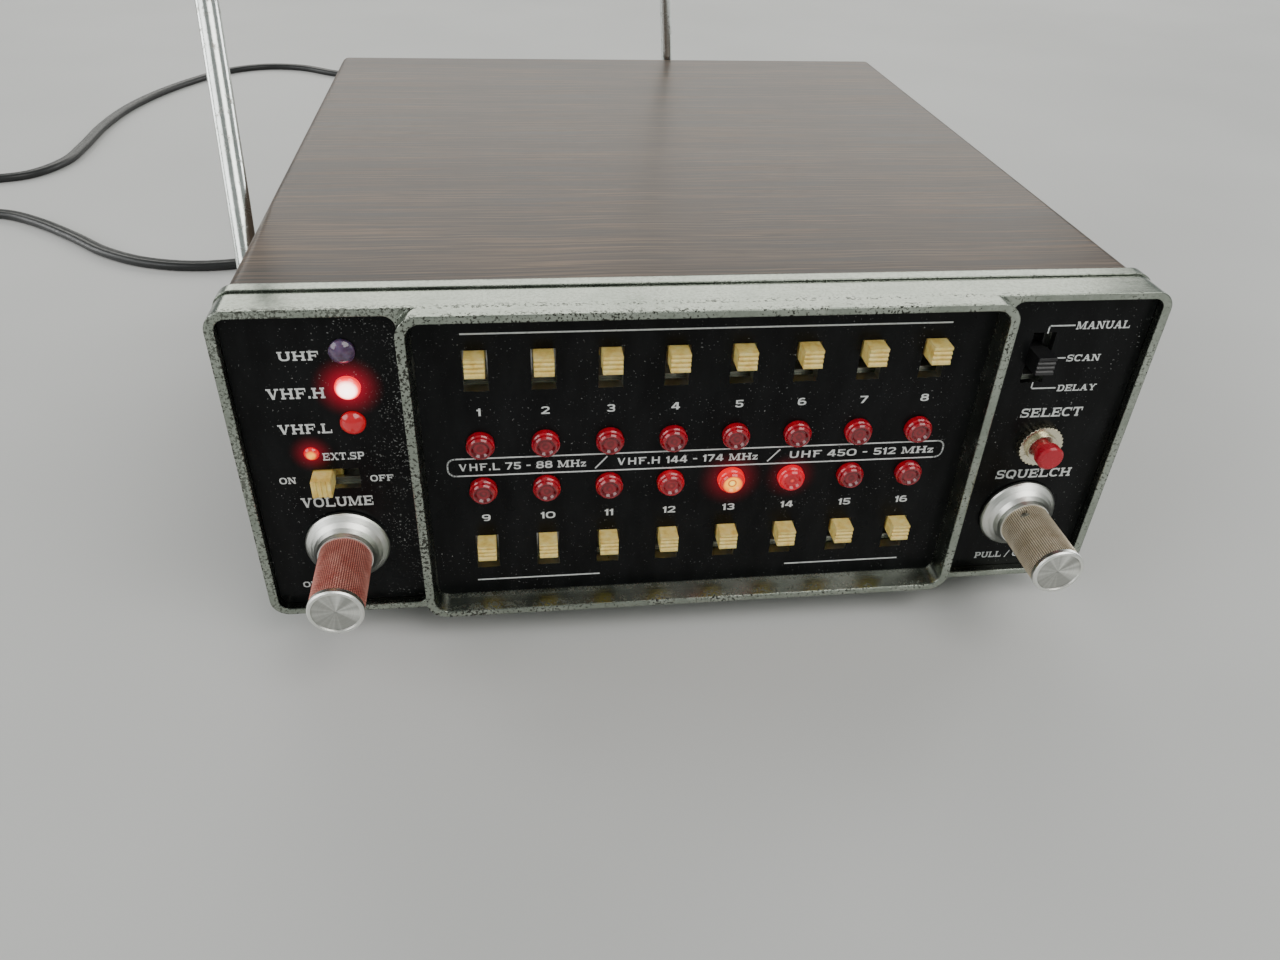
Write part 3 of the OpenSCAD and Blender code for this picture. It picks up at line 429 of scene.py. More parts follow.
def lens(name, places, lamps=()):
    """Red moulded lenses at (x, z) places. lamps are (x, z, glow) of the lit ones."""
    m = Paint(name)
    near = None
    for lx, lz in places:
        d = m.distance(lx, lz)
        near = d if near is None else m.math("MINIMUM", near, d)
    # painted light and shade: bright and dark rings round each lens's middle stand in for light
    # passing through its moulded rings
    painted_ring_shade = m.ramp(m.span(near, 0.0, LENS_R), [
        (0.0, 0.75), (0.20, 0.45), (0.34, 0.8), (0.60, 0.30), (0.76, 0.85), (1.0, 1.15),
    ], "EASE")
    facets = m.noise(1000, 2, 0.5, stretch=(0.9, 0.4, 0.9))
    painted_lens_shade = m.math("MULTIPLY", painted_ring_shade, m.span(facets, 0.3, 0.7, 0.7, 1.3))
    m.set("Base Color", m.scaled(LENS_RED, painted_lens_shade))
    m.set("Roughness", m.span(m.noise(1000, 2), 0.3, 0.7, 0.06, 0.18))
    m.fix(subsurface_weight=0.25, subsurface_radius=(1.0, 0.12, 0.08), subsurface_scale=0.0012)
    m.fix(coat_weight=0.6, coat_roughness=0.05)
    glow = None
    for lx, lz, power in lamps:
        d = m.distance(lx, lz)
        lit = m.ramp(m.span(d, 0.0, 0.0031), [
            (0.0, (1.0, 0.80, 0.20)), (0.18, (1.0, 0.62, 0.06)), (0.25, (0.26, 0.012, 0.001)),
            (0.36, (1.0, 0.50, 0.02)), (0.60, (0.85, 0.20, 0.01)), (0.72, (0.26, 0.002, 0.002)),
            (1.0, (0.50, 0.004, 0.004)),
        ] if power > 1 else [
            (0.0, (1.0, 0.22, 0.12)), (0.10, (0.8, 0.04, 0.03)), (0.20, (0.34, 0.002, 0.006)),
            (0.60, (0.50, 0.003, 0.012)), (1.0, (0.80, 0.006, 0.018)),
        ])
        on = m.math("LESS_THAN", d, 0.0036)
        part = m.scaled(lit, m.math("MULTIPLY", on, power))
        glow = part if glow is None else m.sum(glow, part)
    if glow is not None:
        m.set("Emission Color", glow)
        m.fix(emission_strength=1.0)
    return m.mat


upper_low, upper_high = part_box("upper_lamps")
lower_low, lower_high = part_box("lower_lamps")
upper_z = (upper_low.z + upper_high.z) / 2
lower_z = (lower_low.z + lower_high.z) / 2
first_x = (lower_low.x + lower_high.x) / 2 - 3.5 * PITCH
columns = [first_x + k * PITCH for k in range(8)]
lit_lamps = [(columns[k], lower_z, power) for k, power in ((3, 0.14), (4, 1.9), (5, 0.75))]
dress(lens("red_lens_upper", [(cx, upper_z) for cx in columns]), "upper_lamps")
dress(lens("red_lens_lower", [(cx, lower_z) for cx in columns], lit_lamps), "lower_lamps")

# band lamps: clear smoked lens at the top, a bright one and a dim red one
band_low, band_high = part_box("band_lamps")
band = Paint("band_lamp")
band_r = (band_high.x - band_low.x) / 2
top, bottom = band_high.z - band_r, band_low.z + band_r
middle = (top + bottom) / 2
half = (top - bottom) / 4
high_mask = band.math("GREATER_THAN", band.axis(2), top - half)
low_mask = band.math("LESS_THAN", band.axis(2), bottom + half)
cloud = band.noise(500, 2)
smoked = band.ramp(cloud, [(0.3, (0.05, 0.018, 0.06)), (0.7, (0.16, 0.10, 0.20))])
band.set("Base Color", band.mix(high_mask, (0.30, 0.008, 0.016), smoked))
band.set("Roughness", band.span(cloud, 0.3, 0.7, 0.08, 0.2))
band.fix(subsurface_weight=0.3, subsurface_scale=0.0012, coat_weight=0.7)
mid_mask = band.math("SUBTRACT", 1.0, band.math("ADD", high_mask, low_mask))
d_mid = band.distance((band_low.x + band_high.x) / 2, middle)
hot = band.ramp(band.span(d_mid, 0.0, 0.0027), [
    (0.0, (1.0, 0.90, 0.84)), (0.55, (1.0, 0.66, 0.58)), (0.80, (0.5, 0.02, 0.02)),
    (1.0, (0.12, 0.0005, 0.002)),
])
hot = band.scaled(hot, band.math("MULTIPLY", mid_mask, 6.0))
dim = band.scaled((0.9, 0.008, 0.014), band.math("MULTIPLY", low_mask, 0.36))
band.set("Emission Color", band.sum(hot, dim))
band.fix(emission_strength=1.0)
dress(band.mat, "band_lamps")

spk_low, spk_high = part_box("speaker_lamp")
spk = Paint("speaker_lamp", base_color=(0.3, 0.01, 0.015), roughness=0.12)
d_spk = spk.distance((spk_low.x + spk_high.x) / 2, (spk_low.z + spk_high.z) / 2)
glow = spk.ramp(spk.span(d_spk, 0.0, 0.0016), [
    (0.0, (1.0, 0.55, 0.06)), (0.45, (1.0, 0.36, 0.03)), (0.70, (0.5, 0.004, 0.004)),
    (1.0, (0.4, 0.002, 0.006)),
])
flicker = spk.span(spk.noise(900, 2), 0.3, 0.7, 1.3, 1.8)
spk.set("Emission Color", spk.scaled(glow, flicker))
spk.fix(emission_strength=1.0, coat_weight=0.6)
dress(spk.mat, "speaker_lamp")

# cream slide knobs: yellowed plastic, browner in the grooves and on the upper face
cream = Paint("cream_plastic")
soil = cream.noise(600, 4, 0.6)
up = cream.axis(2, cream.add("NewGeometry").outputs["Normal"])
aged = cream.ramp(soil, [
    (0.3, (0.76, 0.51, 0.11)), (0.5, (0.95, 0.73, 0.22)), (0.7, (1.0, 0.84, 0.36)),
])
aged = cream.mix(cream.math("MULTIPLY", cream.span(up, 0.5, 0.95), 0.18), aged, (0.62, 0.40, 0.12))
groove = cream.worn_edge(0.0005, 0.86, 0.99)
aged = cream.mix(cream.math("MULTIPLY", groove, 0.25), aged, (0.42, 0.27, 0.10))
cream.set("Base Color", aged)
cream.set("Roughness", cream.span(soil, 0.3, 0.7, 0.32, 0.5))
cream.fix(subsurface_weight=0.12, subsurface_scale=0.001)
cream.set("Normal", cream.bump(soil, 0.00004, 0.3, cream.soft_edge(0.00025)))
channel_knobs = [n for n in nodes if n.startswith("channel_switch_") and n[-1].isdigit()]
dress(cream.mat, "speaker_switch_knob", *channel_knobs)


def plastic(name, dark, light, rough, scale=500):
    """Moulded or painted stuff with a fine grain."""
    m = Paint(name)
    grain = m.noise(scale, 4, 0.6)
    m.set("Base Color", m.ramp(m.noise(scale / 6, 3), [(0.3, dark), (0.7, light)]))
    m.set("Roughness", m.span(grain, 0.3, 0.7, rough - 0.08, rough + 0.08))
    m.set("Normal", m.bump(grain, 0.00004, 0.4, m.soft_edge(0.0003)))
    return m.mat


black = plastic("black_plastic", (0.010, 0.010, 0.011), (0.024, 0.024, 0.025), 0.38)
dress(black, "mode_switch_knob", "loudspeaker", "cord_bush", "mains_plug")
dress(plastic("red_plastic", (0.42, 0.010, 0.022), (0.56, 0.018, 0.034), 0.26), "select_button")
dress(plastic("rubber", (0.010, 0.010, 0.010), (0.022, 0.021, 0.020), 0.75), "feet")
board = plastic("circuit_board", (0.03, 0.10, 0.035), (0.06, 0.16, 0.05), 0.45, scale=900)
dress(board, "main_board", "display_board")
dress(plastic("transformer_iron", (0.05, 0.045, 0.04), (0.14, 0.10, 0.06), 0.5), "transformer")


def metal(name, dark, light, rough, amount, tarnish=(0.10, 0.075, 0.045), scale=350):
    """Bare metal with an amount of tarnished spots."""
    m = Paint(name, metallic=1.0)
    cloud = m.noise(scale / 5, 3, 0.6)
    grain = m.noise(1000, 4, 0.6)
    spots = m.math("MULTIPLY", m.span(m.noise(scale, 5, 0.7, offset=(3, 1, 6)), 0.56, 0.66), amount)
    m.set("Base Color", m.mix(spots, m.ramp(cloud, [(0.3, dark), (0.7, light)]), tarnish))
    polish = m.span(grain, 0.3, 0.7, rough - 0.06, rough + 0.08)
    m.set("Roughness", m.math("MULTIPLY_ADD", spots, 0.35, polish))
    m.set("Normal", m.bump(grain, 0.00003, 0.3, m.soft_edge(0.0003)))
    return m.mat


dress(
    metal("zinc_steel", (0.42, 0.42, 0.40), (0.62, 0.62, 0.60), 0.36, 0.3),
    "chassis_tray", "crystals", "volume_control", "squelch_control", "squelch_shaft",
    "channel_switch_frames", "speaker_switch_frame", "mode_switch_frame",
)
dress(metal("nickel_brass", (0.66, 0.60, 0.42), (0.80, 0.76, 0.60), 0.24, 0.5), "select_bushing")
dress(metal("socket_metal", (0.60, 0.60, 0.58), (0.74, 0.74, 0.72), 0.24, 0.2), "rear_sockets")
antenna_parts = [n for n in nodes if n.startswith(("side_antenna", "rear_antenna"))]
dress(
    metal(
        "antenna_chrome", (0.66, 0.70, 0.67), (0.84, 0.87, 0.84), 0.19, 0.65,
        tarnish=(0.12, 0.09, 0.06), scale=420,
    ),
    "antenna_mounts", *antenna_parts,
)
steel = Paint("black_steel")
wrinkle = steel.noise(1000, 3, 0.6, stretch=(0.9, 0.9, 0.9))
steel.set("Base Color", steel.ramp(wrinkle, [(0.3, 0.010), (0.7, 0.026)]))
steel.set("Roughness", steel.span(wrinkle, 0.3, 0.7, 0.4, 0.6))
steel.set("Normal", steel.bump(wrinkle, 0.00012, 0.5, steel.soft_edge(0.0003)))
dress(steel.mat, "rear_panel", "screws")


KNURL_TEETH = 72
KNURL_START, KNURL_END = 0.0013, 0.0173  # behind the knob's front face
CAP_DEPTH = 0.0012


def turned_knob(name, node, stain_and_shade, crossed):
    """Turned aluminium: bright skirt, cap with a painted reflection, stained knurl between with
    painted shade.
    """
    m = Paint(name)
    low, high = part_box(node)
    cx, cz = (low.x + high.x) / 2, (low.z + high.z) / 2
    dx = m.math("SUBTRACT", m.axis(0), cx)
    dz = m.math("SUBTRACT", m.axis(2), cz)
    r = m.distance(cx, cz)
    angle = m.math("ARCTAN2", dz, dx)
    in_front = m.math("GREATER_THAN", m.axis(1), low.y + KNURL_START)
    behind = m.math("LESS_THAN", m.axis(1), low.y + KNURL_END)
    outside = m.math("GREATER_THAN", r, 0.0045)
    knurl = m.math("MULTIPLY", m.math("MULTIPLY", in_front, behind), outside)
    smooth = m.math("SUBTRACT", 1.0, knurl)
    cloud = m.noise(240, 4, 0.6)
    polar = m.add("CombineXYZ", {0: r, 1: m.axis(1), 2: 0.0}).outputs[0]
    ring = m.noise(1000, 2, 0.5, stretch=(6, 1, 1), where=polar)
    bright = m.ramp(m.math("MULTIPLY_ADD", ring, 0.7, m.math("MULTIPLY", cloud, 0.3)), [
        (0.35, (0.80, 0.80, 0.75)), (0.65, (0.90, 0.91, 0.87)),
    ])
    # painted reflection: broad light and dark sectors round the cap stand in for the spun
    # aluminium's reflections
    around = {0: m.math("COSINE", angle), 1: m.math("SINE", angle), 2: 0.0}
    reflection_at = m.add("CombineXYZ", around).outputs[0]
    reflection_sector = m.noise(1.3, 3, 0.45, offset=(2.3, 0.4, 1.0), where=reflection_at)
    inner = m.math("LESS_THAN", r, 0.0049)
    cap = m.math("MULTIPLY", inner, m.math("LESS_THAN", m.axis(1), low.y + CAP_DEPTH))
    lit = m.span(reflection_sector, 0.40, 0.62, 0.42, 1.0)
    painted_dark_sector = m.math("MULTIPLY", cap, m.math("SUBTRACT", 1.0, lit))
    bright = m.mix(painted_dark_sector, bright, (0.10, 0.10, 0.085))
    stained_and_shaded = m.ramp(m.noise(330, 4, 0.6), [(0.3, stain_and_shade[0]), (0.7, stain_and_shade[1])])
    # painted shade: the knurl's valleys are darkened to the third colour, standing in for the shade
    # between its teeth
    valley_shade = m.math("SINE", m.math("MULTIPLY_ADD", angle, KNURL_TEETH, math.pi / 2))
    stained_and_shaded = m.mix(m.span(valley_shade, -1.0, 0.5, 0.95, 0.0), stained_and_shaded, stain_and_shade[2])
    m.set("Base Color", m.mix(knurl, bright, stained_and_shaded))
    m.set("Metallic", m.math("MULTIPLY_ADD", knurl, -0.55, 1.0))
    polish = m.span(cloud, 0.3, 0.7, 0.30, 0.34)
    m.set("Roughness", m.math("MULTIPLY_ADD", knurl, 0.16, polish))
    m.fix(anisotropic=0.7)
    m.set("Tangent", m.add("Tangent", direction_type="RADIAL", axis="Y").outputs[0])
    turned = m.math("SINE", m.math("MULTIPLY", r, 26000.0))  # fine rings of the lathe tool
    height = m.math("MULTIPLY", m.math("MULTIPLY", turned, smooth), 0.02)
    if crossed:
        slope = m.math("MULTIPLY", angle, KNURL_TEETH / 2)
        cuts = m.math("SINE", m.math("MULTIPLY_ADD", m.axis(1), 8000.0, slope))
        height = m.math("MULTIPLY_ADD", m.math("MULTIPLY", cuts, knurl), 0.8, height)
    m.set("Normal", m.bump(height, 0.00008, 0.6, m.soft_edge(0.0002)))
    dress(m.mat, node)


# each knob's two stain colours, then the colour of the painted shade in its knurl's valleys
RED_STAIN_AND_SHADE = ((0.66, 0.20, 0.16), (0.95, 0.46, 0.38), (0.24, 0.04, 0.03))
BRASSY_STAIN_AND_SHADE = ((0.66, 0.56, 0.39), (0.95, 0.85, 0.67), (0.20, 0.15, 0.10))
turned_knob("knob_aluminium_left", "volume_knob", RED_STAIN_AND_SHADE, True)
turned_knob("knob_aluminium_right", "squelch_knob", BRASSY_STAIN_AND_SHADE, False)

# ---------- lettering ----------
# Glyphs are one unit high. A bar is a slanted or straight stroke and a bowl is a ring, or part
# of one, that is thick at its sides and thin at its top and bottom.

THICK_STROKE, THIN_STROKE = 0.25, 0.15
SERIF_REACH = 0.24


def bar(x0, z0, x1, z1, w):
    """An upright or slanting stroke, w wide along X."""
    return [(x0 - w / 2, z0), (x0 + w / 2, z0), (x1 + w / 2, z1), (x1 - w / 2, z1)]


def slab(x0, x1, z0, z1):
    return [(x0, z0), (x1, z0), (x1, z1), (x0, z1)]


def bowl(cx, cz, rx, rz, start, end, side=THICK_STROKE):
    """Quads of a squarish ring from one angle to another, in degrees."""
    quads, steps = [], max(4, round(abs(end - start) / 15))
    ring = []
    for k in range(steps + 1):
        a = math.radians(start + (end - start) * k / steps)
        c, s = math.cos(a), math.sin(a)
        c, s = math.copysign(abs(c) ** 0.8, c), math.copysign(abs(s) ** 0.8, s)
        inside = (cx + (rx - side) * c, cz + (rz - THIN_STROKE) * s)
        ring.append(((cx + rx * c, cz + rz * s), inside))
    for (a, b), (c, d) in zip(ring, ring[1:]):
        quads.append([a, b, d, c])
    return quads


def stem(x, serif, z1=1.0, low=True, high=True):
    """A thick upright with slab serifs where they belong."""
    shapes = [slab(x - THICK_STROKE / 2, x + THICK_STROKE / 2, 0, z1)]
    if serif and low:
        shapes.append(slab(x - SERIF_REACH, x + SERIF_REACH, 0, THIN_STROKE))
    if serif and high:
        shapes.append(slab(x - SERIF_REACH, x + SERIF_REACH, z1 - THIN_STROKE, z1))
    return shapes


def letters(serif):
    """(shapes, width) of every sign, with slab serifs or plain."""
    t, h = THIN_STROKE, THICK_STROKE
    left = 0.02 if serif else 0.14

    def when_serif(*shapes):
        return [slab(*shape) for shape in shapes] if serif else []

    def tips(*spans):
        """Serifs on the tops of thin strokes."""
        return when_serif(*[(x0, x1, 1 - t, 1) for x0, x1 in spans])

    def feet(*spans):
        """Serifs under thin strokes."""
        return when_serif(*[(x0, x1, 0, t) for x0, x1 in spans])

    foot = when_serif((1.06, 1.16, 0.0, 0.36))
    ring = bowl(0.62, 0.5, 0.62, 0.5, 0, 360)
    return {
        "U": ([
            slab(0.11, 0.11 + h, 0.4, 1), slab(0.96, 0.96 + h, 0.4, 1),
            *bowl(0.66, 0.42, 0.55, 0.42, 180, 360), *tips((0.0, 0.48), (0.86, 1.30)),
        ], 1.3),
        "H": ([
            *stem(0.26, serif), *stem(1.10, serif), slab(0.3, 1.1, 0.5 - t / 2, 0.5 + t / 2),
        ], 1.36),
        "F": ([
            *stem(0.26, serif, high=False), slab(0.02, 1.12, 1 - t, 1),
            slab(0.3, 0.86, 0.44, 0.44 + t),
            *when_serif((0.78, 0.88, 0.34, 0.66), (1.02, 1.12, 0.64, 1)),
        ], 1.14),
        "E": ([
            *stem(0.26, serif, high=False, low=False), slab(left, 1.12, 1 - t, 1),
            slab(left, 1.16, 0, t), slab(0.3, 0.88, 0.5 - t / 2, 0.5 + t / 2),
            *when_serif((0.80, 0.90, 0.36, 0.66), (1.04, 1.14, 0.62, 1.0)), *foot,
        ], 1.18),
        "L": ([*stem(0.26, serif, low=False), slab(left, 1.14, 0, t), *foot], 1.16),
        "T": ([
            *stem(0.6, serif, high=False), slab(0.02, 1.18, 1 - t, 1),
            *when_serif((0.02, 0.12, 0.62, 1), (1.08, 1.18, 0.62, 1)),
        ], 1.2),
        "V": ([
            bar(0.66, 0, 0.24, 1, h * 1.1), bar(0.66, 0, 1.08, 1, t * 1.1),
            *tips((0.0, 0.5), (0.86, 1.3)),
        ], 1.3),
        "A": ([
            bar(0.22, 0, 0.64, 1, t * 1.1), bar(1.08, 0, 0.66, 1, h * 1.1),
            slab(0.34, 0.98, 0.28, 0.28 + t), *feet((0.0, 0.42), (0.82, 1.34)),
        ], 1.34),
        "X": ([
            bar(1.06, 0, 0.24, 1, h * 1.15), bar(0.22, 0, 1.06, 1, t * 1.2),
            *tips((0.0, 0.46), (0.84, 1.28)), *feet((0.0, 0.44), (0.82, 1.3)),
        ], 1.3),
        "Y": ([
            bar(0.64, 0.42, 0.24, 1, h * 1.1), bar(0.64, 0.42, 1.06, 1, t * 1.2),
            *stem(0.64, serif, z1=0.5, high=False), *tips((0.0, 0.46), (0.84, 1.28)),
        ], 1.28),
        "N": ([
            slab(0.14, 0.14 + t, 0, 1), slab(1.04, 1.04 + t, 0, 1), bar(1.08, 0, 0.26, 1, h * 1.2),
            *tips((0.0, 0.3), (0.86, 1.34)), *feet((0.0, 0.42)),
        ], 1.36),
        "M": ([
            slab(0.12, 0.12 + t, 0, 1), slab(1.26, 1.26 + h, 0, 1),
            bar(0.74, 0.05, 0.28, 1, h), bar(0.76, 0.05, 1.28, 1, t),
            *tips((0.0, 0.3), (1.32, 1.66)), *feet((0.0, 0.40), (1.1, 1.66)),
        ], 1.66),
        "O": (ring, 1.24),
        "0": (ring, 1.24),
        "Q": ([*ring, bar(1.0, -0.08, 0.66, 0.30, 0.2)], 1.26),
        "C": ([*bowl(0.62, 0.5, 0.62, 0.5, 45, 315), *when_serif((1.02, 1.14, 0.62, 0.98))], 1.18),
        "D": ([
            *stem(0.26, serif), slab(0.3, 0.62, 1 - t, 1), slab(0.3, 0.62, 0, t),
            *bowl(0.62, 0.5, 0.58, 0.5, -90, 90),
        ], 1.22),
        "P": ([
            *stem(0.26, serif, high=False), slab(left, 0.72, 1 - t, 1),
            slab(0.3, 0.72, 0.38, 0.38 + t), *bowl(0.74, 0.69, 0.42, 0.31, -90, 90),
        ], 1.18),
        "S": ([
            *bowl(0.54, 0.715, 0.5, 0.285, 40, 270, 0.22),
            *bowl(0.54, 0.285, 0.52, 0.285, -140, 90, 0.22),
            *when_serif((0.94, 1.05, 0.66, 1.0), (0.02, 0.13, 0.0, 0.34)),
        ], 1.1),
        "z": ([
            slab(0.0, 0.72, 0.55, 0.68), slab(0.0, 0.74, 0, 0.13), bar(0.16, 0.1, 0.56, 0.58, 0.22),
            *when_serif((0.0, 0.08, 0.42, 0.68), (0.66, 0.74, 0, 0.25)),
        ], 0.78),
        "1": ([slab(0.20, 0.46, 0, 1), slab(0.0, 0.3, 0.68, 0.86)], 0.5),
        "2": ([
            *bowl(0.5, 0.70, 0.5, 0.30, -30, 170, 0.24), bar(0.16, 0.1, 0.80, 0.56, 0.3),
            slab(0, 1.02, 0, 0.17),
        ], 1.04),
        "3": ([
            *bowl(0.5, 0.72, 0.48, 0.28, -90, 165, 0.24),
            *bowl(0.5, 0.28, 0.5, 0.28, -165, 90, 0.24),
            slab(0.34, 0.5, 0.44, 0.56),
        ], 1.02),
        "4": ([
            slab(0.62, 0.88, 0, 1), slab(0.0, 1.06, 0.20, 0.36), bar(0.12, 0.3, 0.66, 1, 0.26),
        ], 1.08),
        "5": ([
            slab(0.08, 0.98, 0.84, 1), slab(0.08, 0.30, 0.46, 1), slab(0.1, 0.5, 0.46, 0.62),
            *bowl(0.5, 0.31, 0.52, 0.31, -165, 90, 0.25),
        ], 1.04),
        "6": ([
            *bowl(0.54, 0.31, 0.54, 0.31, 0, 360, 0.25), *bowl(0.54, 0.5, 0.54, 0.5, 55, 200, 0.25),
        ], 1.08),
        "7": ([slab(0.0, 1.0, 0.83, 1), bar(0.34, 0, 0.86, 0.86, 0.28)], 1.02),
        "8": ([
            *bowl(0.54, 0.735, 0.48, 0.265, 0, 360, 0.24),
            *bowl(0.54, 0.29, 0.54, 0.29, 0, 360, 0.25),
        ], 1.08),
        "9": ([
            *bowl(0.54, 0.69, 0.54, 0.31, 0, 360, 0.25),
            *bowl(0.54, 0.5, 0.54, 0.5, -125, 20, 0.25),
        ], 1.08),
        ".": ([slab(0.04, 0.28, 0, 0.22)], 0.32),
        "-": ([slab(0.05, 0.62, 0.40, 0.56)], 0.68),
        "/": ([bar(0.06, -0.1, 0.72, 1.05, 0.16)], 0.78),
        " ": ([], 0.45),
    }


LETTERS = {serif: letters(serif) for serif in (False, True)}

ink = Paint("white_ink")
worn = ink.noise(1000, 3, 0.6, stretch=(1.6, 1.6, 1.6))
ink.set("Base Color", ink.ramp(worn, [(0.25, (0.50, 0.52, 0.51)), (0.5, (0.76, 0.78, 0.77))]))
ink.set("Roughness", ink.span(worn, 0.3, 0.7, 0.4, 0.6))
INK_DEPTH = 0.00006
INK_SUNK = 0.00002  # into the panel
INK_LAYER = 0.000001  # each quad lies this much over the last, so none share a plane
UNIT = "MHz"  # printed with serifs
LETTER_GAP = 0.14


class Print:
    """Flat raised ink on a panel face that looks along -Y."""

    def __init__(self, face_y):
        self.bm = bmesh.new()
        self.y = face_y

    def prism(self, outline, layer=0):
        """A thin solid of ink, its back face sunk into the panel."""
        area = sum(a[0] * b[1] - b[0] * a[1] for a, b in zip(outline, outline[1:] + outline[:1]))
        if area < 0:
            outline = outline[::-1]
        lift = INK_DEPTH + layer * INK_LAYER
        back = [self.bm.verts.new((px, self.y + INK_SUNK, pz)) for px, pz in outline]
        front = [self.bm.verts.new((px, self.y - lift, pz)) for px, pz in outline]
        n = len(outline)
        self.bm.faces.new(front)
        self.bm.faces.new(back[::-1])
        for k in range(n):
            self.bm.faces.new((front[k], back[k], back[(k + 1) % n], front[(k + 1) % n]))

    def line(self, points, width=0.00032):
        """Straight strokes from point to point, with square ends."""
        for (ax, az), (bx, bz) in zip(points, points[1:]):
            d = Vector((bx - ax, bz - az)).normalized() * (width / 2)
            self.prism([
                (ax - d.x + d.y, az - d.y - d.x), (ax - d.x - d.y, az - d.y + d.x),
                (bx + d.x - d.y, bz + d.y + d.x), (bx + d.x + d.y, bz + d.y - d.x),
            ])

    def words(self, text, x0, x1, z_mid, height, serif=False):
        """A word fitted between two places. A unit at its end has serifs."""
        placed, at = [], 0.0
        unit_at = text.find(UNIT)
        for n, letter in enumerate(text):
            shapes, width = LETTERS[serif or 0 <= unit_at <= n][letter]
            placed.append((at, shapes))
            at += width + LETTER_GAP
        sx = (x1 - x0) / (at - LETTER_GAP)
        for start, shapes in placed:
            for n, shape in enumerate(shapes):
                outline = [
                    (x0 + (start + px) * sx, z_mid + (pz - 0.5) * height) for px, pz in shape
                ]
                self.prism(outline, n % 8)

    def piece(self, name):
        """Ends the print and rides it on the cabinet."""
        mesh = bpy.data.meshes.new(name)
        bmesh.ops.recalc_face_normals(self.bm, faces=self.bm.faces)
        self.bm.to_mesh(mesh)
        self.bm.free()
        piece = bpy.data.objects.new(name, mesh)
        bpy.context.scene.collection.objects.link(piece)
        mesh.materials.append(ink.mat)
        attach(piece, "cabinet")
        return piece


centre_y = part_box("centre_panel")[0].y
side_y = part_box("left_panel")[0].y
mid_z = (upper_z + lower_z) / 2
FINE_LINE = 0.0003

# channel numbers: digits side by side, each row over or under its lamps
DIGIT_WIDTH, DIGIT_HEIGHT = 0.0017, 0.00175
NUMBER_SHIFT = 0.00015
NUMBER_Z = (0.05996, 0.0329)
centre = Print(centre_y)
for k in range(16):
    number = str(k + 1)
    number_x = columns[k % 8] + NUMBER_SHIFT
    half_w = (sum(LETTERS[False][d][1] for d in number) + LETTER_GAP * (k > 8)) * DIGIT_WIDTH / 2
    centre.words(number, number_x - half_w, number_x + half_w, NUMBER_Z[k // 8], DIGIT_HEIGHT)
for x0, x1, z in (
    (-0.0496, 0.0496, 0.0777), (-0.0498, -0.0222, 0.01515), (0.0221, 0.0495, 0.01515),
):
    centre.line([(x0, z), (x1, z)])

# band plate: a rounded outline round the three bands, and a slash between each two
PLATE_W, PLATE_H, PLATE_R = 0.0544, 0.00217, 0.0016  # half its width and height, and its corners
BAND_HEIGHT = 0.0018
outline = []
for qx, qz, first in ((1, 1, 0), (-1, 1, 90), (-1, -1, 180), (1, -1, 270)):
    for step in range(5):
        a = math.radians(first + step * 22.5)
        outline.append((
            qx * (PLATE_W - PLATE_R) + PLATE_R * math.cos(a),
            mid_z + qz * (PLATE_H - PLATE_R) + PLATE_R * math.sin(a),
        ))
centre.line([*outline, outline[0]], FINE_LINE)
for text, x0, x1 in (
    ("VHF.L 75 - 88 MHz", -0.0522, -0.0252), ("VHF.H 144 - 174 MHz", -0.0187, 0.0123),
    ("UHF 450 - 512 MHz", 0.0192, 0.0523),
):
    centre.words(text, x0, x1, mid_z, BAND_HEIGHT)
for x0, x1 in ((-0.0232, -0.0208), (0.0146, 0.0170)):
    centre.line([(x0, mid_z - 0.0014), (x1, mid_z + 0.0014)], FINE_LINE)
centre.piece("centre_panel_lettering")


def labels(panel_print, *rows):
    """Words in millimetres: text, left end, right end, middle height, letter height."""
    for text, x0, x1, z_mid, height in rows:
        panel_print.words(text, x0 * MM, x1 * MM, z_mid * MM, height * MM, serif=True)


left = Print(side_y)
labels(
    left,
    ("UHF", -84.6, -76.9, 73.2, 2.0), ("VHF.H", -88.1, -76.9, 64.9, 2.4),
    ("VHF.L", -87.3, -76.8, 56.6, 2.3), ("EXT.SP", -79.6, -71.2, 49.7, 1.8),
    ("ON", -89.2, -85.8, 44.0, 1.6), ("OFF", -70.7, -65.9, 43.8, 1.6),
    ("VOLUME", -85.7, -70.8, 38.1, 2.5), ("OFF", -88.9, -84.1, 15.3, 1.6),
)
left.piece("left_panel_lettering")

right = Print(side_y)
labels(
    right,
    ("MANUAL", 77.9, 89.9, 75.55, 1.8), ("SCAN", 78.0, 85.6, 67.8, 1.6),
    ("DELAY", 78.0, 87.0, 60.4, 1.6), ("SELECT", 71.3, 85.7, 54.2, 2.3),
    ("SQUELCH", 69.8, 88.1, 37.6, 2.4), ("PULL / OUT", 70.4, 85.4, 13.4, 1.8),
)
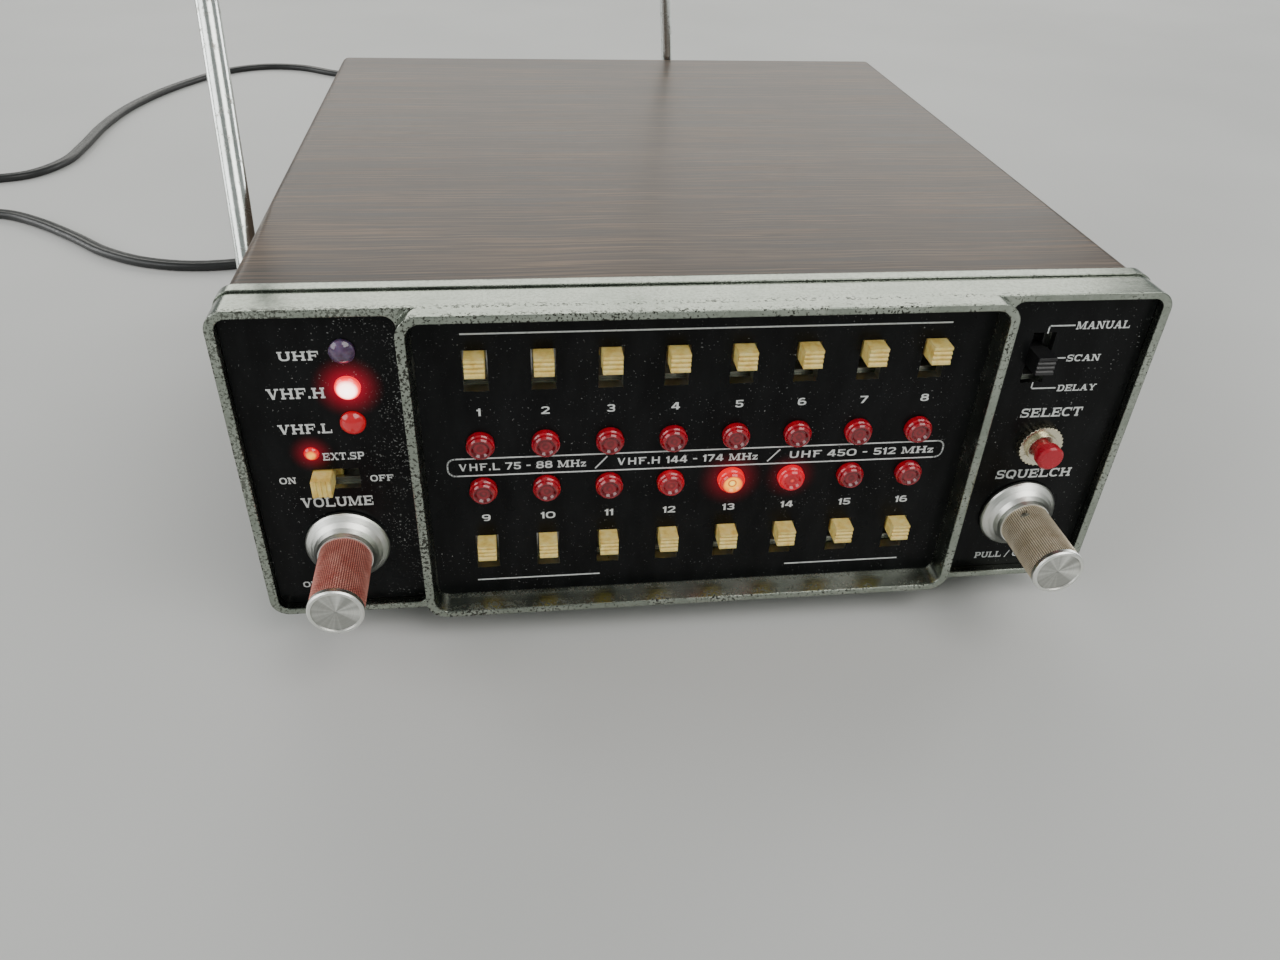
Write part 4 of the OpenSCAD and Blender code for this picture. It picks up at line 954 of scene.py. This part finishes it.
# leader lines from the switch's three places to their words
for leader in (
    ((0.0719, 0.0740), (0.0719, 0.0756), (0.0774, 0.0756)),
    ((0.0739, 0.0679), (0.0775, 0.0679)),
    ((0.0719, 0.0619), (0.0719, 0.0605), (0.0774, 0.0605)),
):
    right.line(leader, FINE_LINE)
right.piece("right_panel_lettering")

# ---------- stage and light ----------

floor_mat = Paint("floor", roughness=0.55)
tone = floor_mat.noise(6, 2)
greys = [(0.3, (0.60, 0.60, 0.59)), (0.7, (0.66, 0.66, 0.65))]
floor_mat.set("Base Color", floor_mat.ramp(tone, greys))
floor = new_piece(
    "floor", [(-6, -4, 0), (6, -4, 0), (6, 8, 0), (-6, 8, 0)], [(0, 1, 2, 3)], floor_mat.mat,
    body=None,
)

world = bpy.data.worlds.new("studio")
bpy.context.scene.world = world
world.use_nodes = True
sky = world.node_tree.nodes["Background"].inputs
sky["Color"].default_value = (0.80, 0.86, 0.84, 1)
sky["Strength"].default_value = 0.35


def softbox(name, place, aim, width, height, power, colour=(1, 1, 1)):
    """A rectangular light at a place, aimed at another."""
    lamp = bpy.data.lights.new(name, "AREA")
    lamp.shape = "RECTANGLE"
    lamp.size, lamp.size_y = width, height
    lamp.energy = power
    lamp.color = colour
    holder = bpy.data.objects.new(name, lamp)
    bpy.context.scene.collection.objects.link(holder)
    holder.location = place
    holder.rotation_mode = "QUATERNION"
    holder.rotation_quaternion = (Vector(aim) - Vector(place)).to_track_quat("-Z", "Y")


softbox("window_light", (0.1, 1.9, 0.85), (0, 0, 0.05), 2.6, 0.9, 17, (1.0, 0.985, 0.93))
softbox("key_light", (0.7, -0.9, 1.3), (0, -0.05, 0.04), 1.1, 1.1, 15, (1.0, 0.985, 0.95))
softbox("fill_light", (-1.2, -0.5, 0.7), (0, -0.05, 0.04), 0.9, 0.9, 8)
softbox("side_light", (1.5, 0.9, 0.5), (0, 0.1, 0.1), 0.5, 1.0, 8)
softbox("rod_light", (-1.5, 0.5, 0.5), (0, 0.1, 0.1), 0.6, 1.0, 9)
